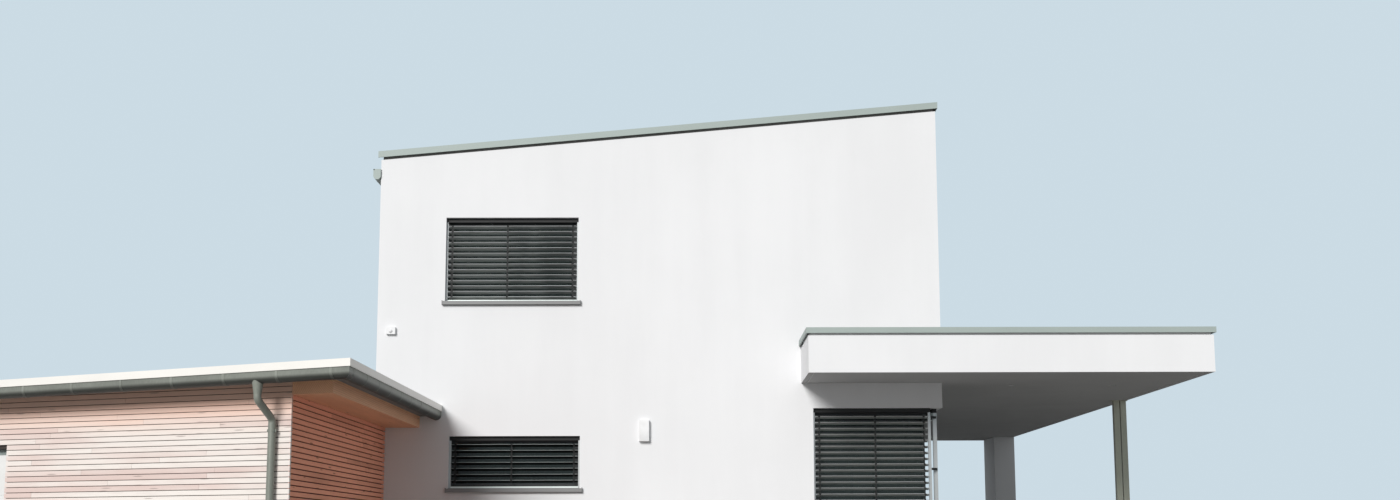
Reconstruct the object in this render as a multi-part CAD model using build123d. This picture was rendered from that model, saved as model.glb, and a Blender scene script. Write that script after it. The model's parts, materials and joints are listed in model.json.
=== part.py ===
from build123d import *
import os
from math import atan, cos, degrees, radians, sin, sqrt, tan

# A detached house: a plain white block under a single-slope roof, a flat canopy round its right side,
# and a timber-clad annex at its left front. Millimetres, +Z up, front towards -Y, z = 0 is the ground.

# Main block
house_width = 7900.0
house_depth = 12100.0
wall_thickness = 365.0
eave_height = 6252.0
roof_fall = 0.0896
floor_top = 150.0
upper_floor_top = 3050.0
upper_floor_thickness = 250.0

# Main roof
roof_thickness = 110.0
roof_inset = 25.0
coping_height = 90.0
coping_gap = 35.0
coping_sheet = 14.0
coping_overhang = 30.0
coping_flange = 260.0
coping_tail = 40.0
eaves_gutter_width = 105.0
eaves_gutter_height = 150.0
eaves_gutter_drop = 137.0
gutter_sheet = 5.0
eaves_pipe_diameter = 80.0
eaves_pipe_from_rear = 600.0
eaves_pipe_gap = 30.0

# Windows
frame_width = 80.0
frame_depth = 80.0
frame_setback = 160.0
glass_thickness = 24.0
upper_window_left = 940.0
upper_window_width = 1870.0
upper_sill_height = 4210.0
upper_window_height = 1205.0
lower_window_left = 1035.0
lower_window_width = 1815.0
lower_sill_height = 1590.0
lower_window_height = 730.0
sill_thickness = 50.0
sill_sheet = 12.0
sill_lip_top = 4.0
sill_projection = 50.0
sill_ear = 35.0
rear_door_width = 1800.0
side_window_offset = 3000.0
rear_window_offset = 2075.0

# Venetian blinds
blind_setback = 58.0
guide_depth = 56.0
guide_width = 24.0
guide_wall = 4.0
head_rail_height = 58.0
bottom_rail_height = 24.0
bottom_rail_depth = 32.0
bracket_inset = 8.0
upper_slat_pitch = 78.0
lower_slat_pitch = 83.0
first_slat_below_head = 54.0
slat_chord = 80.0
slat_tilt = 22.0
slat_bulge = 8.0
slat_sheet = 2.4
slat_clearance = 4.0
slat_pin = 6.0
raised_stack_height = 62.0
raised_stack_slats = 7
raised_stack_gap = 2.0
sash_width = 48.0
sash_step = 12.0
fit = 0.3

# Corner window
corner_front_length = 1802.0
corner_side_length = 1800.0
corner_head = 2700.0
corner_setback = 200.0
corner_front_rail_inset = 160.0
corner_rail_width = 36.0
corner_side_rail_from_front = 160.0
corner_blind_bottom = 200.0
bracket_height = 30.0
bracket_middle = 1840.0
bracket_low = 980.0
bracket_top_drop = 50.0
bracket_thickness = 20.0

# Canopy
canopy_front = 1320.0
canopy_left_reach = 1965.0
canopy_right_reach = 3378.0
canopy_soffit = 3050.0
canopy_fascia = 490.0
canopy_upstand = 91.0
canopy_upstand_inset = 30.0
canopy_coping_height = 75.0
canopy_coping_overhang = 28.0
pier_width = 428.0
pier_depth = 1100.0
post_side = 90.0
post_gap = 15.0
post_inset = 18.0
post_from_wall_front = 2700.0
post_plate = 10.0
post_plate_margin = 30.0
downlight_diameter = 110.0
downlight_spacing = 1435.0
downlight_from_front = 1720.0
downlight_first = 1060.0
downlight_rim = 12.0
downlight_recess = 10.0
downlight_depth = 60.0
drip_from_edge = 60.0
drip_width = 20.0
drip_depth = 12.0

# Annex
annex_skew = 19.0
annex_right_turn = 0.6
annex_roof_fall = 0.0148
annex_corner_right = 100.0
annex_front = 4740.0
annex_length = 6740.0
annex_behind = 3600.0
annex_core = 170.0
annex_cladding = 30.0
annex_roof_bottom = 2600.0
annex_roof_thickness = 135.0
annex_front_overhang = 430.0
annex_right_overhang = 785.0
annex_other_overhang = 150.0
annex_trim_sheet = 12.0
annex_trim_height = 83.0
annex_trim_flange = 60.0
annex_soffit_height = 2440.0
annex_soffit_thickness = 18.0
annex_beam_height = 165.0
annex_beam_width = 45.0
annex_beam_reach = 475.0
annex_gutter_radius = 72.0
annex_gutter_height = 128.0
annex_gutter_lap = 5.0
annex_gutter_end_gap = 32.0
trough_tool_length = 400.0
annex_pipe_diameter = 80.0
annex_pipe_from_corner = 196.0
annex_pipe_gap = 25.0
annex_outlet_radius = 66.0
annex_outlet_height = 170.0
annex_outlet_rise = 40.0
annex_bend_radius = 75.0
annex_bend_drop = 190.0
annex_neck_drop = 50.0
door_from_corner = 3790.0
door_width = 2500.0
door_height = 1940.0
door_recess = 110.0
door_leaf = 45.0
door_frame = 60.0
door_sections = 4
door_groove_width = 10.0
door_groove_depth = 5.0
door_leaf_gap = 10.0

# Small things on the front wall
wall_box_width = 140.0
wall_box_height = 295.0
wall_box_depth = 60.0
wall_box_right = 137.0
wall_box_bottom = 2240.0
sensor_width = 128.0
sensor_height = 99.0
sensor_depth = 50.0
sensor_from_left = 134.0
sensor_bottom = 3747.0

# Places that follow from the sizes
right = house_width / 2
left = -right
front = -house_depth / 2
rear = -front
inner_right = right - wall_thickness
inner_left = -inner_right
inner_front = front + wall_thickness
inner_rear = -inner_front
blind_depth = guide_depth
slat_run = slat_chord * sin(radians(slat_tilt))
slat_reach = slat_chord * cos(radians(slat_tilt))


def box(x0, x1, y0, y1, z0, z1):
    # A plain block between two corners
    return Pos((x0 + x1) / 2, (y0 + y1) / 2, (z0 + z1) / 2) * Box(abs(x1 - x0), abs(y1 - y0), abs(z1 - z0))


def prism(points, z0, z1):
    # A plan outline carried up from z0 to z1
    return Pos(0, 0, z0) * extrude(make_face(Polyline(*points, close=True)), amount=z1 - z0)


def side_prism(points, y0, y1):
    # An outline in X and Z carried back from y0 to y1
    face = make_face(Polyline(*[(x, y0, z) for x, z in points], close=True))
    return extrude(face, amount=y1 - y0, dir=(0, 1, 0))


def wall_top(x):
    # The walls end on one slope, low at the left
    return eave_height + roof_fall * (x - left)


def slope_slab(x0, x1, y0, y1, low, high):
    # A slab that follows the roof slope, low and high measured up from the wall top
    return side_prism([(x0, wall_top(x0) + low), (x1, wall_top(x1) + low),
                       (x1, wall_top(x1) + high), (x0, wall_top(x0) + high)], y0, y1)


# Windows are written as (wall, start, width, sill height, height), start measured along +X or +Y
windows = {
    "front_upper": ("front", left + upper_window_left, upper_window_width, upper_sill_height, upper_window_height),
    "front_lower": ("front", left + lower_window_left, lower_window_width, lower_sill_height, lower_window_height),
    "right_upper_1": ("right", -side_window_offset - upper_window_width / 2, upper_window_width,
                      upper_sill_height, upper_window_height),
    "right_upper_2": ("right", side_window_offset - upper_window_width / 2, upper_window_width,
                      upper_sill_height, upper_window_height),
    "right_lower": ("right", side_window_offset - lower_window_width / 2, lower_window_width,
                    lower_sill_height, lower_window_height),
    "rear_upper_1": ("rear", -rear_window_offset - upper_window_width / 2, upper_window_width,
                     upper_sill_height, upper_window_height),
    "rear_upper_2": ("rear", rear_window_offset - upper_window_width / 2, upper_window_width,
                     upper_sill_height, upper_window_height),
    "rear_lower": ("rear", -rear_window_offset - lower_window_width / 2, lower_window_width,
                   lower_sill_height, lower_window_height),
    "rear_door": ("rear", rear_window_offset - rear_door_width / 2, rear_door_width,
                  floor_top, corner_head - floor_top),
    "left_upper_1": ("left", -side_window_offset - upper_window_width / 2, upper_window_width,
                     upper_sill_height, upper_window_height),
    "left_upper_2": ("left", side_window_offset - upper_window_width / 2, upper_window_width,
                     upper_sill_height, upper_window_height),
}


def place(wall, shape):
    # Local pieces have X along the wall, Y = 0 on its outer face and +Y inwards
    if wall == "front":
        return Pos(0, front, 0) * shape
    if wall == "right":
        return Pos(right, 0, 0) * Rot(0, 0, 90) * shape
    if wall == "rear":
        return Pos(0, rear, 0) * Rot(0, 0, 180) * shape
    return Pos(left, 0, 0) * Rot(0, 0, -90) * shape


def span(name):
    # The window's two ends in its wall's local X
    wall, start, width, sill, height = windows[name]
    if wall in ("rear", "left"):
        return -start - width, -start, sill, sill + height
    return start, start + width, sill, sill + height


def on_wall(wall):
    return [n for n in windows if windows[n][0] == wall]


def cut_windows(shape, wall):
    # The holes for the windows, right through the wall
    for name in on_wall(wall):
        x0, x1, z0, z1 = span(name)
        shape = shape - place(wall, box(x0, x1, -10, wall_thickness + 10, z0, z1))
    return shape


def corner_hole():
    # The corner window takes the end of the front wall and of the right wall
    x0 = right - corner_front_length
    y1 = front + corner_side_length
    return (box(x0, right + 10, front - 10, inner_front + 10, floor_top, corner_head)
            + box(inner_right - 10, right + 10, front - 10, y1, floor_top, corner_head))


def wall_block(x0, x1, y0, y1):
    # A wall from the ground to the roof slope
    return side_prism([(x0, 0), (x1, 0), (x1, wall_top(x1)), (x0, wall_top(x0))], y0, y1)


def make_walls():
    front_wall = cut_windows(wall_block(left, right, front, inner_front), "front") - corner_hole()
    rear_wall = cut_windows(wall_block(left, right, inner_rear, rear), "rear")
    left_wall = cut_windows(wall_block(left, inner_left, inner_front, inner_rear), "left")
    right_wall = cut_windows(wall_block(inner_right, right, inner_front, inner_rear), "right") - corner_hole()
    return {"front_wall": front_wall, "rear_wall": rear_wall, "left_wall": left_wall, "right_wall": right_wall}


def make_floors():
    # The slab on the ground and the one between the storeys, both between the walls
    ground = box(inner_left, inner_right, inner_front, inner_rear, 0, floor_top)
    upper = box(inner_left, inner_right, inner_front, inner_rear,
                upper_floor_top - upper_floor_thickness, upper_floor_top)
    return {"ground_floor": ground, "upper_floor": upper}


def make_roof():
    deck = slope_slab(left + roof_inset, right - roof_inset, front + roof_inset, rear - roof_inset,
                      0, roof_thickness)
    out = coping_overhang
    top = coping_gap + coping_height
    skin = coping_sheet
    cap = slope_slab(left - coping_tail, right + out, front - out, rear + out, coping_gap, top)
    cap = cap - slope_slab(left - coping_tail - 10, right + out - skin, front - out + skin, rear + out - skin,
                           coping_gap - 10, top - skin)
    cap = cap - slope_slab(left - coping_tail - 10, right - coping_flange, front + coping_flange,
                           rear - coping_flange, coping_gap - 10, top + 10)
    return {"roof_deck": deck, "roof_coping": cap}


def u_gutter(width, height, sheet):
    # Cross-section of a round-bottomed gutter, centred on X, its rim at Z = 0
    r = width / 2
    outer = Pos(0, -(height - r) / 2) * Rectangle(width, height - r)
    outer += Pos(0, -(height - r)) * Circle(r)
    inner = Pos(0, -(height - r) / 2 + 5) * Rectangle(width - 2 * sheet, height - r + 10)
    inner += Pos(0, -(height - r)) * Circle(r - sheet)
    above = Pos(0, height) * Rectangle(2 * width, 2 * height)
    return outer - inner - above


def make_eaves():
    # Gutter along the low left side, its pipe near the rear
    rim = eave_height - eaves_gutter_drop
    gx = left - eaves_gutter_width / 2
    section = Plane.XZ * u_gutter(eaves_gutter_width, eaves_gutter_height, gutter_sheet)
    run = Pos(gx, front - coping_overhang, rim) * extrude(section, amount=-(house_depth + 2 * coping_overhang))
    for y in (front - coping_overhang, rear + coping_overhang - gutter_sheet):
        plate = Plane.XZ * u_gutter_fill(eaves_gutter_width, eaves_gutter_height)
        run = run + Pos(gx, y, rim) * extrude(plate, amount=-gutter_sheet)
    y_pipe = rear - eaves_pipe_from_rear
    bottom = rim - eaves_gutter_height
    pipe = Pos(gx, y_pipe, bottom / 2) * Cylinder(eaves_pipe_diameter / 2, bottom)
    return {"eaves_gutter": run, "eaves_downpipe": pipe}


def u_gutter_fill(width, height):
    # The closed end of a gutter
    r = width / 2
    full = Pos(0, -(height - r) / 2) * Rectangle(width, height - r) + Pos(0, -(height - r)) * Circle(r)
    return full - Pos(0, height) * Rectangle(2 * width, 2 * height)


def window_frame(x0, x1, z0, z1, setback):
    # A fixed frame, and the sash in it set back by one step
    outer = box(x0, x1, setback, setback + frame_depth, z0, z1)
    seen = frame_width - sash_width
    outer -= box(x0 + seen, x1 - seen, setback - 10, setback + sash_step, z0 + seen, z1 - seen)
    return outer - box(x0 + frame_width, x1 - frame_width, setback - 10, setback + frame_depth + 10,
                       z0 + frame_width, z1 - frame_width)


def door_post(x0, x1, z0, z1):
    # The upright where the two leaves of the rear door meet
    mid = (x0 + x1) / 2
    return box(mid - sash_width, mid + sash_width, frame_setback + sash_step, frame_setback + frame_depth,
               z0 + frame_width, z1 - frame_width)


def window_pane(x0, x1, z0, z1, setback):
    mid = setback + frame_depth / 2
    return box(x0 + frame_width, x1 - frame_width, mid - glass_thickness / 2, mid + glass_thickness / 2,
               z0 + frame_width, z1 - frame_width)


def window_sill(x0, x1, z0):
    # Folded sill: it lies in front of the frame and hangs over the wall
    plate = box(x0, x1, 0, frame_setback, z0, z0 + sill_sheet)
    top = z0 + sill_lip_top
    lip = box(x0 - sill_ear, x1 + sill_ear, -sill_projection, 0, top - sill_thickness, top)
    return plate + lip


def guide_rail(x0, z0, z1, opens_right):
    # A channel beside the blind, open towards the slats
    outer = box(x0, x0 + guide_width, blind_setback, blind_setback + guide_depth, z0, z1)
    y0 = blind_setback + guide_wall
    y1 = blind_setback + guide_depth - guide_wall
    if opens_right:
        return outer - box(x0 + guide_wall, x0 + guide_width + 10, y0, y1, z0 - 10, z1 + 10)
    return outer - box(x0 - 10, x0 + guide_width - guide_wall, y0, y1, z0 - 10, z1 + 10)


def head_rail(x0, x1, z1):
    return box(x0, x1, blind_setback, blind_setback + guide_depth, z1 - head_rail_height, z1)


def slat_section():
    # One slat: crowned, its outer edge a little higher than its inner edge
    half = slat_chord / 2
    tilt = radians(slat_tilt)
    outer = (-half * cos(tilt), half * sin(tilt))
    inner = (-outer[0], -outer[1])
    nx, nz = sin(tilt), cos(tilt)
    mid = (nx * slat_bulge, nz * slat_bulge)
    crown = (nx * (slat_bulge + slat_sheet), nz * (slat_bulge + slat_sheet))
    outer2 = (outer[0] + nx * slat_sheet, outer[1] + nz * slat_sheet)
    inner2 = (inner[0] + nx * slat_sheet, inner[1] + nz * slat_sheet)
    edge = ThreePointArc(outer, mid, inner) + Line(inner, inner2) + ThreePointArc(inner2, crown, outer2)
    return make_face(edge + Line(outer2, outer))


def slats(x0, x1, z0, z1, pitch):
    # Slats hang at one pitch between two guides; a pin at each end runs in the guide's channel
    y = blind_setback + guide_depth / 2
    a = x0 + guide_width + slat_clearance
    b = x1 - guide_width - slat_clearance
    one = Pos(a, 0, 0) * extrude(Plane.YZ * slat_section(), amount=b - a)
    reach = guide_width - guide_wall - fit + slat_clearance
    pin_y = slat_pin / 2
    z_pin = slat_bulge * cos(radians(slat_tilt))
    one += box(a - reach, a + reach, -pin_y, pin_y, z_pin - slat_pin / 2, z_pin + slat_pin / 2)
    one += box(b - reach, b + reach, -pin_y, pin_y, z_pin - slat_pin / 2, z_pin + slat_pin / 2)
    first = z1 - first_slat_below_head - slat_run / 2
    count = int((first - slat_run / 2 - z0) / pitch) + 1
    return [Pos(0, y, first - i * pitch) * one for i in range(count)]


def raised_stack(x0, x1, z1):
    # A raised blind: its slats lie on each other under the head rail, pinned in both guides
    a = x0 + guide_width + slat_clearance
    b = x1 - guide_width - slat_clearance
    y = blind_setback + guide_depth / 2
    block = box(a, b, y - slat_reach / 2, y + slat_reach / 2, z1 - raised_stack_height, z1)
    step = raised_stack_height / raised_stack_slats
    for i in range(1, raised_stack_slats):
        z = z1 - i * step
        gap = raised_stack_gap / 2
        block -= box(a - 10, b + 10, y - slat_reach / 2 - 10, y - slat_reach / 2 + 3 * gap, z - gap, z + gap)
    return block


def bottom_rail(x0, x1, z0):
    # Its ends run in the guides
    mid = blind_setback + guide_depth / 2
    return box(x0, x1, mid - bottom_rail_depth / 2, mid + bottom_rail_depth / 2, z0, z0 + bottom_rail_height)


# The blinds that are down, with the node of their slats and their pitch
lowered = {"front_upper": ("upper_blind_slats", upper_slat_pitch),
           "front_lower": ("lower_blind_slats", lower_slat_pitch)}


def make_windows():
    parts = {k: [] for k in ("window_frames", "window_glass", "window_sills", "blind_guides",
                             "blind_head_rails", "blind_bottom_rails", "raised_blinds", "upper_blind_slats",
                             "lower_blind_slats")}
    for name in windows:
        wall = windows[name][0]
        x0, x1, z0, z1 = span(name)
        parts["window_frames"].append(place(wall, window_frame(x0, x1, z0, z1, frame_setback)))
        parts["window_glass"].append(place(wall, window_pane(x0, x1, z0, z1, frame_setback)))
        rail_foot = z0
        if name != "rear_door":
            parts["window_sills"].append(place(wall, window_sill(x0, x1, z0)))
            rail_foot = z0 + sill_sheet
        head = z1 - head_rail_height
        parts["blind_guides"].append(place(wall, guide_rail(x0, rail_foot, head, True)))
        parts["blind_guides"].append(place(wall, guide_rail(x1 - guide_width, rail_foot, head, False)))
        parts["blind_head_rails"].append(place(wall, head_rail(x0, x1, z1)))
        a, b = x0 + guide_wall + fit, x1 - guide_wall - fit
        if name == "rear_door":
            parts["window_frames"][-1] += place(wall, door_post(x0, x1, z0, z1))
            parts["window_glass"][-1] -= place(wall, door_post(x0, x1, z0, z1))
        if name in lowered:
            key, pitch = lowered[name]
            parts["blind_bottom_rails"].append(place(wall, bottom_rail(a, b, rail_foot)))
            for s in slats(x0, x1, rail_foot + bottom_rail_height, head, pitch):
                parts[key].append(place(wall, s))
        else:
            rail_top = head - raised_stack_height
            parts["raised_blinds"].append(place(wall, raised_stack(x0, x1, head)))
            parts["blind_bottom_rails"].append(place(wall, bottom_rail(a, b, rail_top - bottom_rail_height)))
    return {k: Compound(children=v) for k, v in parts.items()}


def corner_ell(depth0, depth1, end, z0, z1):
    # An L in plan that follows both faces of the corner, between two depths behind them
    x0 = right - corner_front_length + end
    y1 = front + corner_side_length - end
    return prism([(x0, front + depth0), (right - depth0, front + depth0), (right - depth0, y1),
                  (right - depth1, y1), (right - depth1, front + depth1), (x0, front + depth1)], z0, z1)


def make_corner_window():
    s0 = corner_setback
    s1 = corner_setback + frame_depth
    x0 = right - corner_front_length
    y1 = front + corner_side_length
    frame = corner_ell(s0, s1, 0, floor_top, floor_top + frame_width)
    frame += corner_ell(s0, s1, 0, corner_head - frame_width, corner_head)
    frame += box(x0, x0 + frame_width, front + s0, front + s1, floor_top, corner_head)
    frame += box(right - s1, right - s0, y1 - frame_width, y1, floor_top, corner_head)
    g0 = s0 + (frame_depth - glass_thickness) / 2
    g1 = g0 + glass_thickness
    z0 = floor_top + frame_width
    z1 = corner_head - frame_width
    pane_front = box(x0 + frame_width, right - g0, front + g0, front + g1, z0, z1)
    pane_side = box(right - g1, right - g0, front + g1 + fit, y1 - frame_width, z0, z1)
    # Blind on the front: one rail on the jamb, one that stands free near the corner
    b0 = blind_setback
    b1 = blind_setback + guide_depth
    rail_x1 = right - corner_front_rail_inset
    rail_x0 = rail_x1 - corner_rail_width
    top = corner_head - head_rail_height
    low = floor_top
    jamb = Pos(0, front, 0) * guide_rail(x0, low, top, True)
    free = box(rail_x0, rail_x1, front + b0, front + b1, low, top)
    free -= box(rail_x0 - 10, rail_x0 + guide_width - guide_wall, front + b0 + guide_wall,
                front + b1 - guide_wall, low - 10, top + 10)
    side_y0 = front + corner_side_rail_from_front
    side_y1 = side_y0 + corner_rail_width
    side = box(right - b1, right - b0, side_y0, side_y1, low, top)
    side -= box(right - b1 + guide_wall, right - b0 - guide_wall, side_y1 - guide_width + guide_wall,
                side_y1 + 10, low - 10, top + 10)
    far = box(right - b1, right - b0, y1 - guide_width, y1, low, top)
    far -= box(right - b1 + guide_wall, right - b0 - guide_wall, y1 - guide_width - 10,
               y1 - guide_wall, low - 10, top + 10)
    heads = [box(x0, rail_x1, front + b0, front + b1, top, corner_head),
             box(right - b1, right - b0, side_y0, y1, top, corner_head)]
    slat_x0 = x0 + guide_wall + fit
    slat_x1 = rail_x0 + guide_width - guide_wall - fit
    rails = [Pos(0, front, 0) * bottom_rail(slat_x0, slat_x1, corner_blind_bottom)]
    blind = [Pos(0, front, 0) * s for s in slats(x0, rail_x0 + guide_width,
                                                 corner_blind_bottom + bottom_rail_height, top, lower_slat_pitch)]
    # The blind on the side is raised: stack and bottom rail under its head rail
    side_mid = (b0 + b1) / 2
    stack_low = top - raised_stack_height
    stack = box(right - side_mid - slat_reach / 2, right - side_mid + slat_reach / 2,
                side_y1 + slat_clearance, y1 - guide_width - slat_clearance, stack_low, top)
    for i in range(1, raised_stack_slats):
        z = top - i * raised_stack_height / raised_stack_slats
        gap = raised_stack_gap / 2
        stack -= box(right - side_mid + slat_reach / 2 - 3 * gap, right, side_y1, y1, z - gap, z + gap)
    rails.append(box(right - side_mid - bottom_rail_depth / 2, right - side_mid + bottom_rail_depth / 2,
                     side_y1 + slat_clearance, y1 - guide_width - slat_clearance,
                     stack_low - bottom_rail_height, stack_low))
    brackets = []
    for z in (top - bracket_top_drop - bracket_height, bracket_middle, bracket_low):
        arm = prism([(rail_x1, front + b0 + bracket_inset), (rail_x1 + bracket_thickness, front + b0 + bracket_inset),
                     (right - b0 - bracket_inset, side_y0 - bracket_thickness), (right - b0 - bracket_inset, side_y0),
                     (right - b1 + bracket_inset, side_y0), (rail_x1, front + b1 - bracket_inset)],
                    z, z + bracket_height)
        brackets.append(arm)
    return {"corner_window_frame": frame,
            "corner_window_glass": Compound(children=[pane_front, pane_side]),
            "corner_guide_rails": Compound(children=[jamb, free, side, far]),
            "corner_head_rails": Compound(children=heads),
            "corner_bottom_rails": Compound(children=rails),
            "corner_raised_blind": stack,
            "corner_blind_slats": Compound(children=blind),
            "corner_brackets": Compound(children=brackets)}


def canopy_outline(grow):
    # The L of the canopy in plan, grown outwards on its free edges only
    x0 = right - canopy_left_reach - grow
    x1 = right + canopy_right_reach + grow
    y0 = front - canopy_front - grow
    y1 = rear + grow
    return [(x0, y0), (x1, y0), (x1, y1), (right, y1), (right, front), (x0, front)]


def make_canopy():
    top = canopy_soffit + canopy_fascia
    slab = prism(canopy_outline(0), canopy_soffit, top)
    slab += prism(canopy_outline(-canopy_upstand_inset), top, top + canopy_upstand)
    # A drip groove under the free edges
    groove = prism(canopy_outline(-drip_from_edge), canopy_soffit - 10, canopy_soffit + drip_depth)
    groove -= prism(canopy_outline(-drip_from_edge - drip_width), canopy_soffit - 20, canopy_soffit + 2 * drip_depth)
    slab -= groove
    lights = []
    for i in range(2):
        x = right + downlight_first + i * downlight_spacing
        y = front - canopy_front + downlight_from_front
        hole = Pos(x, y, canopy_soffit + downlight_depth / 2) * Cylinder(downlight_diameter / 2, downlight_depth)
        slab = slab - hole
        tall = downlight_depth - downlight_recess
        lamp = Pos(x, y, canopy_soffit + downlight_recess + tall / 2) * Cylinder(downlight_diameter / 2, tall)
        lamp = lamp - Pos(x, y, canopy_soffit + downlight_recess) * Cylinder(downlight_diameter / 2 - downlight_rim, tall)
        lights.append(lamp)
    skin = coping_sheet
    c_top = top + canopy_upstand + skin
    cap = prism(canopy_outline(canopy_coping_overhang), c_top - canopy_coping_height, c_top)
    cap -= prism(canopy_outline(canopy_coping_overhang - skin), c_top - canopy_coping_height - 10, c_top - skin)
    cap -= prism(canopy_outline(-coping_flange), c_top - 100, c_top + 10)
    px1 = right + canopy_right_reach
    pier = box(px1 - pier_width, px1, rear - pier_depth, rear, 0, canopy_soffit)
    y0 = front + post_from_wall_front
    x1 = px1 - post_inset
    posts = []
    for i in range(2):
        a = x1 - i * (post_side + post_gap)
        posts.append(box(a - post_side, a, y0, y0 + post_side, post_plate, canopy_soffit - post_plate))
    pair = 2 * post_side + post_gap
    m = post_plate_margin
    plates = [box(x1 - pair - m, x1 + post_inset, y0 - m, y0 + post_side + m, 0, post_plate),
              box(x1 - pair - m, x1 + post_inset, y0 - m, y0 + post_side + m,
                  canopy_soffit - post_plate, canopy_soffit)]
    return {"canopy_slab": slab, "canopy_coping": cap, "canopy_pier": pier,
            "canopy_posts": Compound(children=posts), "canopy_post_plates": Compound(children=plates),
            "canopy_downlights": Compound(children=lights)}


# The annex in plan: each side is a line, given by a point and its outward normal
skew = radians(annex_skew)
turn = radians(annex_right_turn)
annex_x = left + annex_corner_right
annex_y = front - annex_front
annex_left = annex_x - annex_length * cos(skew)
annex_rear = front + annex_behind
annex_wall = annex_core + annex_cladding
sides = {
    "front": ((annex_x, annex_y), (-sin(skew), -cos(skew))),
    "right": ((annex_x, annex_y), (cos(turn), -sin(turn))),
    "rear": ((annex_x, annex_rear), (0.0, 1.0)),
    "left": ((annex_left, annex_y), (-1.0, 0.0)),
    "house_side": ((left, 0.0), (1.0, 0.0)),
    "house_front": ((0.0, front), (0.0, 1.0)),
}


def meet(a, da, b, db):
    # Where two sides cross, each moved inwards by its own depth
    (p, n), (q, m) = sides[a], sides[b]
    c1 = n[0] * p[0] + n[1] * p[1] - da
    c2 = m[0] * q[0] + m[1] * q[1] - db
    det = n[0] * m[1] - n[1] * m[0]
    return ((c1 * m[1] - c2 * n[1]) / det, (n[0] * c2 - m[0] * c1) / det)


def strip(side, before, after, d0, d1, z0, z1):
    # A mitred length of wall or trim on one side, between two depths
    fixed = ("house_side", "house_front")
    pts = [meet(side, d0, before, 0 if before in fixed else d0),
           meet(side, d0, after, 0 if after in fixed else d0),
           meet(side, d1, after, 0 if after in fixed else d1),
           meet(side, d1, before, 0 if before in fixed else d1)]
    return prism(pts, z0, z1)


# The annex roof falls a little to the left; it turns about its right edge, at the height of its underside
roof_pivot = annex_x + annex_right_overhang


def roof_tilt(shape):
    # A level piece of the annex roof laid to the fall, and cut back where the house stands
    fall = -degrees(atan(annex_roof_fall))
    laid = Pos(roof_pivot, 0, annex_roof_bottom) * Rot(0, fall, 0) * Pos(-roof_pivot, 0, -annex_roof_bottom) * shape
    return laid - box(left, right, front, rear, 0, wall_top(left))


def under_roof(shape):
    # What stands under the annex roof stops at its underside
    low = annex_roof_bottom + annex_roof_fall * (annex_left - 1000 - roof_pivot)
    high = annex_roof_bottom + annex_roof_fall * 1000
    room = side_prism([(annex_left - 1000, -10), (roof_pivot + 1000, -10), (roof_pivot + 1000, high),
                       (annex_left - 1000, low)], annex_y - 1000, annex_rear + 1000)
    return shape & room


def on_annex_front(shape):
    # Local pieces have X = 0 at the front corner, -X along the wall and +Y inwards
    return Pos(annex_x, annex_y, 0) * Rot(0, 0, -annex_skew) * shape


def make_annex_walls():
    top = annex_roof_bottom
    hole = on_annex_front(box(-door_from_corner - door_width, -door_from_corner, -10,
                              annex_wall + 10, 0, door_height))
    order = {"front": ("left", "right"), "right": ("front", "house_front"),
             "rear": ("house_side", "left"), "left": ("rear", "front")}
    out = {}
    for side, (a, b) in order.items():
        core = strip(side, a, b, annex_cladding, annex_wall, 0, top)
        # The right side's boards stop under the soffit, the others run up to the roof
        clad_top = annex_soffit_height if side == "right" else annex_roof_bottom
        skin = strip(side, a, b, 0, annex_cladding, 0, clad_top)
        if side == "front":
            core = core - hole
            skin = skin - hole
        out["annex_" + side + "_wall"] = under_roof(core)
        out["annex_" + side + "_cladding"] = under_roof(skin)
    floor = prism([meet("left", annex_wall, "front", annex_wall), meet("front", annex_wall, "right", annex_wall),
                   meet("right", annex_wall, "house_front", 0), (left, front),
                   meet("house_side", 0, "rear", annex_wall), meet("rear", annex_wall, "left", annex_wall)],
                  0, floor_top)
    out["annex_floor"] = floor
    return out


def annex_outline(front_out, right_out, other_out):
    # Plan of the annex roof at three overhangs, stopped at the house walls
    f, r, o = -front_out, -right_out, -other_out
    return [meet("left", o, "front", f), meet("front", f, "right", r), meet("right", r, "house_front", 0),
            (left, front), meet("house_side", 0, "rear", o), meet("rear", o, "left", o)]


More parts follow.
